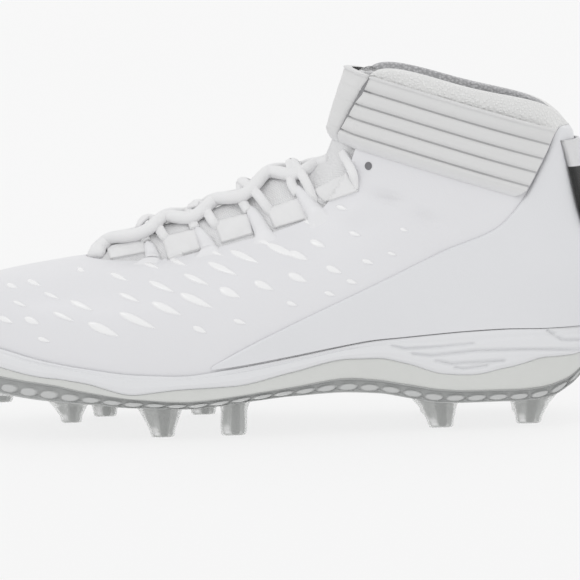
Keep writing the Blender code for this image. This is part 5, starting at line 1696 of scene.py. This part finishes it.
for number, stud in enumerate(STUDS):
    label = stud.name.replace(" ", "_")
    blade, blade_marks = stud_rings(stud)
    settle(
        grid_mesh(f"stud_{label}", blade, stud_clear, wrap=True, attributes=blade_marks, ends=True),
        "clear_plate"
    )
    core, _ = stud_rings(stud, squeeze=(0.36, 0.86), stop=0.93, behind=0.08)
    settle(grid_mesh(f"stud_core_{label}", core, stud_core_skin, wrap=True, ends=True), "clear_plate")


# Insole, heel tab and eyelet
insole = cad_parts["insole"]
insole.data.materials.clear()
insole.data.materials.append(insole_fabric)


def build_tab():
    shares = np.linspace(0, 1, 64)
    columns = np.linspace(-1, 1, 25)
    grid = []
    for share in shares:
        height = TAB_BOTTOM + (TAB_TOP - TAB_BOTTOM) * share
        stand = TAB_STAND_OFF * math.sin(math.pi * share) ** 0.7 + SEAT
        row = []
        for part in columns:
            start = Vector((LENGTH * 1.2, part * TAB_WIDTH / 2, height)) + Vector(SHIFT)
            hit = outside_tree.ray_cast(start, Vector((-1, 0, 0)))
            crown = TAB_THICKNESS * (1 - abs(part) ** 8 * 0.5)
            row.append((hit[0].x - SHIFT[0] + stand + crown, part * TAB_WIDTH / 2, height))
        grid.append(row)
    grid = np.array(grid)
    back = grid - np.array([TAB_THICKNESS * 0.9, 0, 0])
    ring = np.concatenate([grid, back[:, ::-1]], axis=1)
    return ring, shares


tab_grid, tab_shares = build_tab()
band_share = np.repeat(tab_shares[:, None], tab_grid.shape[1], axis=1)
tab = grid_mesh(
    "heel_pull_tab", tab_grid, tab_weave, wrap=True, attributes={"height_share": band_share}, ends=True
)
share_socket = attribute_of(tab_weave, "height_share")
low_band = ramp_of(tab_weave, share_socket, 0.245, 0.235)
high_band = ramp_of(tab_weave, share_socket, 0.755, 0.765)
either = node_of(tab_weave, "ShaderNodeMath", operation="MAXIMUM")
wire(tab_weave, low_band, either.inputs[0])
wire(tab_weave, high_band, either.inputs[1])
tint_where(tab_weave, either.outputs[0], (0.78, 0.78, 0.79))
settle(tab, "heel_webbing", "heel_tab")

eyelet_skin, _ = shader_of("eyelet_mesh", (0.20, 0.20, 0.21), 0.9)
bump_of(eyelet_skin, eyelet_skin.node_tree.nodes["Principled BSDF"], noise_of(eyelet_skin, 1800, 2), 0.0002)


def build_eyelet(twin):
    rows = []
    for reach, lift in ((0.0, 0.12), (2.8, 0.12), (3.6, 0.16)):
        row = []
        for angle in np.arange(24) / 24 * 2 * math.pi:
            found = cast(shell_tree, 368.4 + reach * math.cos(angle), 166.0 + reach * 1.15 * math.sin(angle))
            place, normal = found
            if twin:
                place, normal = twin_on_skin(place, normal)
            row.append(place + normal * lift * 0.001)
        rows.append(row)
    return np.array(rows)


for twin, word in ((False, "outer"), (True, "inner")):
    settle(grid_mesh(f"top_eyelet_{word}", build_eyelet(twin), eyelet_skin, wrap=True), "white_synthetic")


# Floor, light and finish
floor_mesh = bpy.data.meshes.new("floor")
floor_mesh.from_pydata([(-14, -14, 0), (14, -14, 0), (14, 14, 0), (-14, 14, 0)], [], [(0, 1, 2, 3)])
floor = bpy.data.objects.new("floor", floor_mesh)
bpy.context.scene.collection.objects.link(floor)
floor_skin, floor_shader = shader_of("floor_pale", (0.10, 0.10, 0.10), 0.9)
floor_shader.inputs["Emission Color"].default_value = (1.0, 1.0, 1.0, 1.0)
floor_shader.inputs["Emission Strength"].default_value = 0.775
floor_mesh.materials.append(floor_skin)

world = bpy.context.scene.world or bpy.data.worlds.new("world")
bpy.context.scene.world = world
world.use_nodes = True
background = world.node_tree.nodes["Background"]
background.inputs["Color"].default_value = (1.0, 1.0, 1.0, 1.0)
background.inputs["Strength"].default_value = 0.93


def area_light(name, place, aim, size, power):
    light = bpy.data.lights.new(name, "AREA")
    light.shape = "DISK"
    light.size = size
    light.energy = power
    item = bpy.data.objects.new(name, light)
    item.location = place
    item.rotation_euler = (Vector(aim) - Vector(place)).to_track_quat("-Z", "Y").to_euler()
    bpy.context.scene.collection.objects.link(item)


area_light("key", (-0.9, -1.2, 1.7), (0, 0, 0.07), 0.9, 3.0)
area_light("back", (0.8, 1.4, 1.3), (0, 0, 0.08), 1.0, 2.0)
bpy.context.scene.view_settings.view_transform = "Standard"
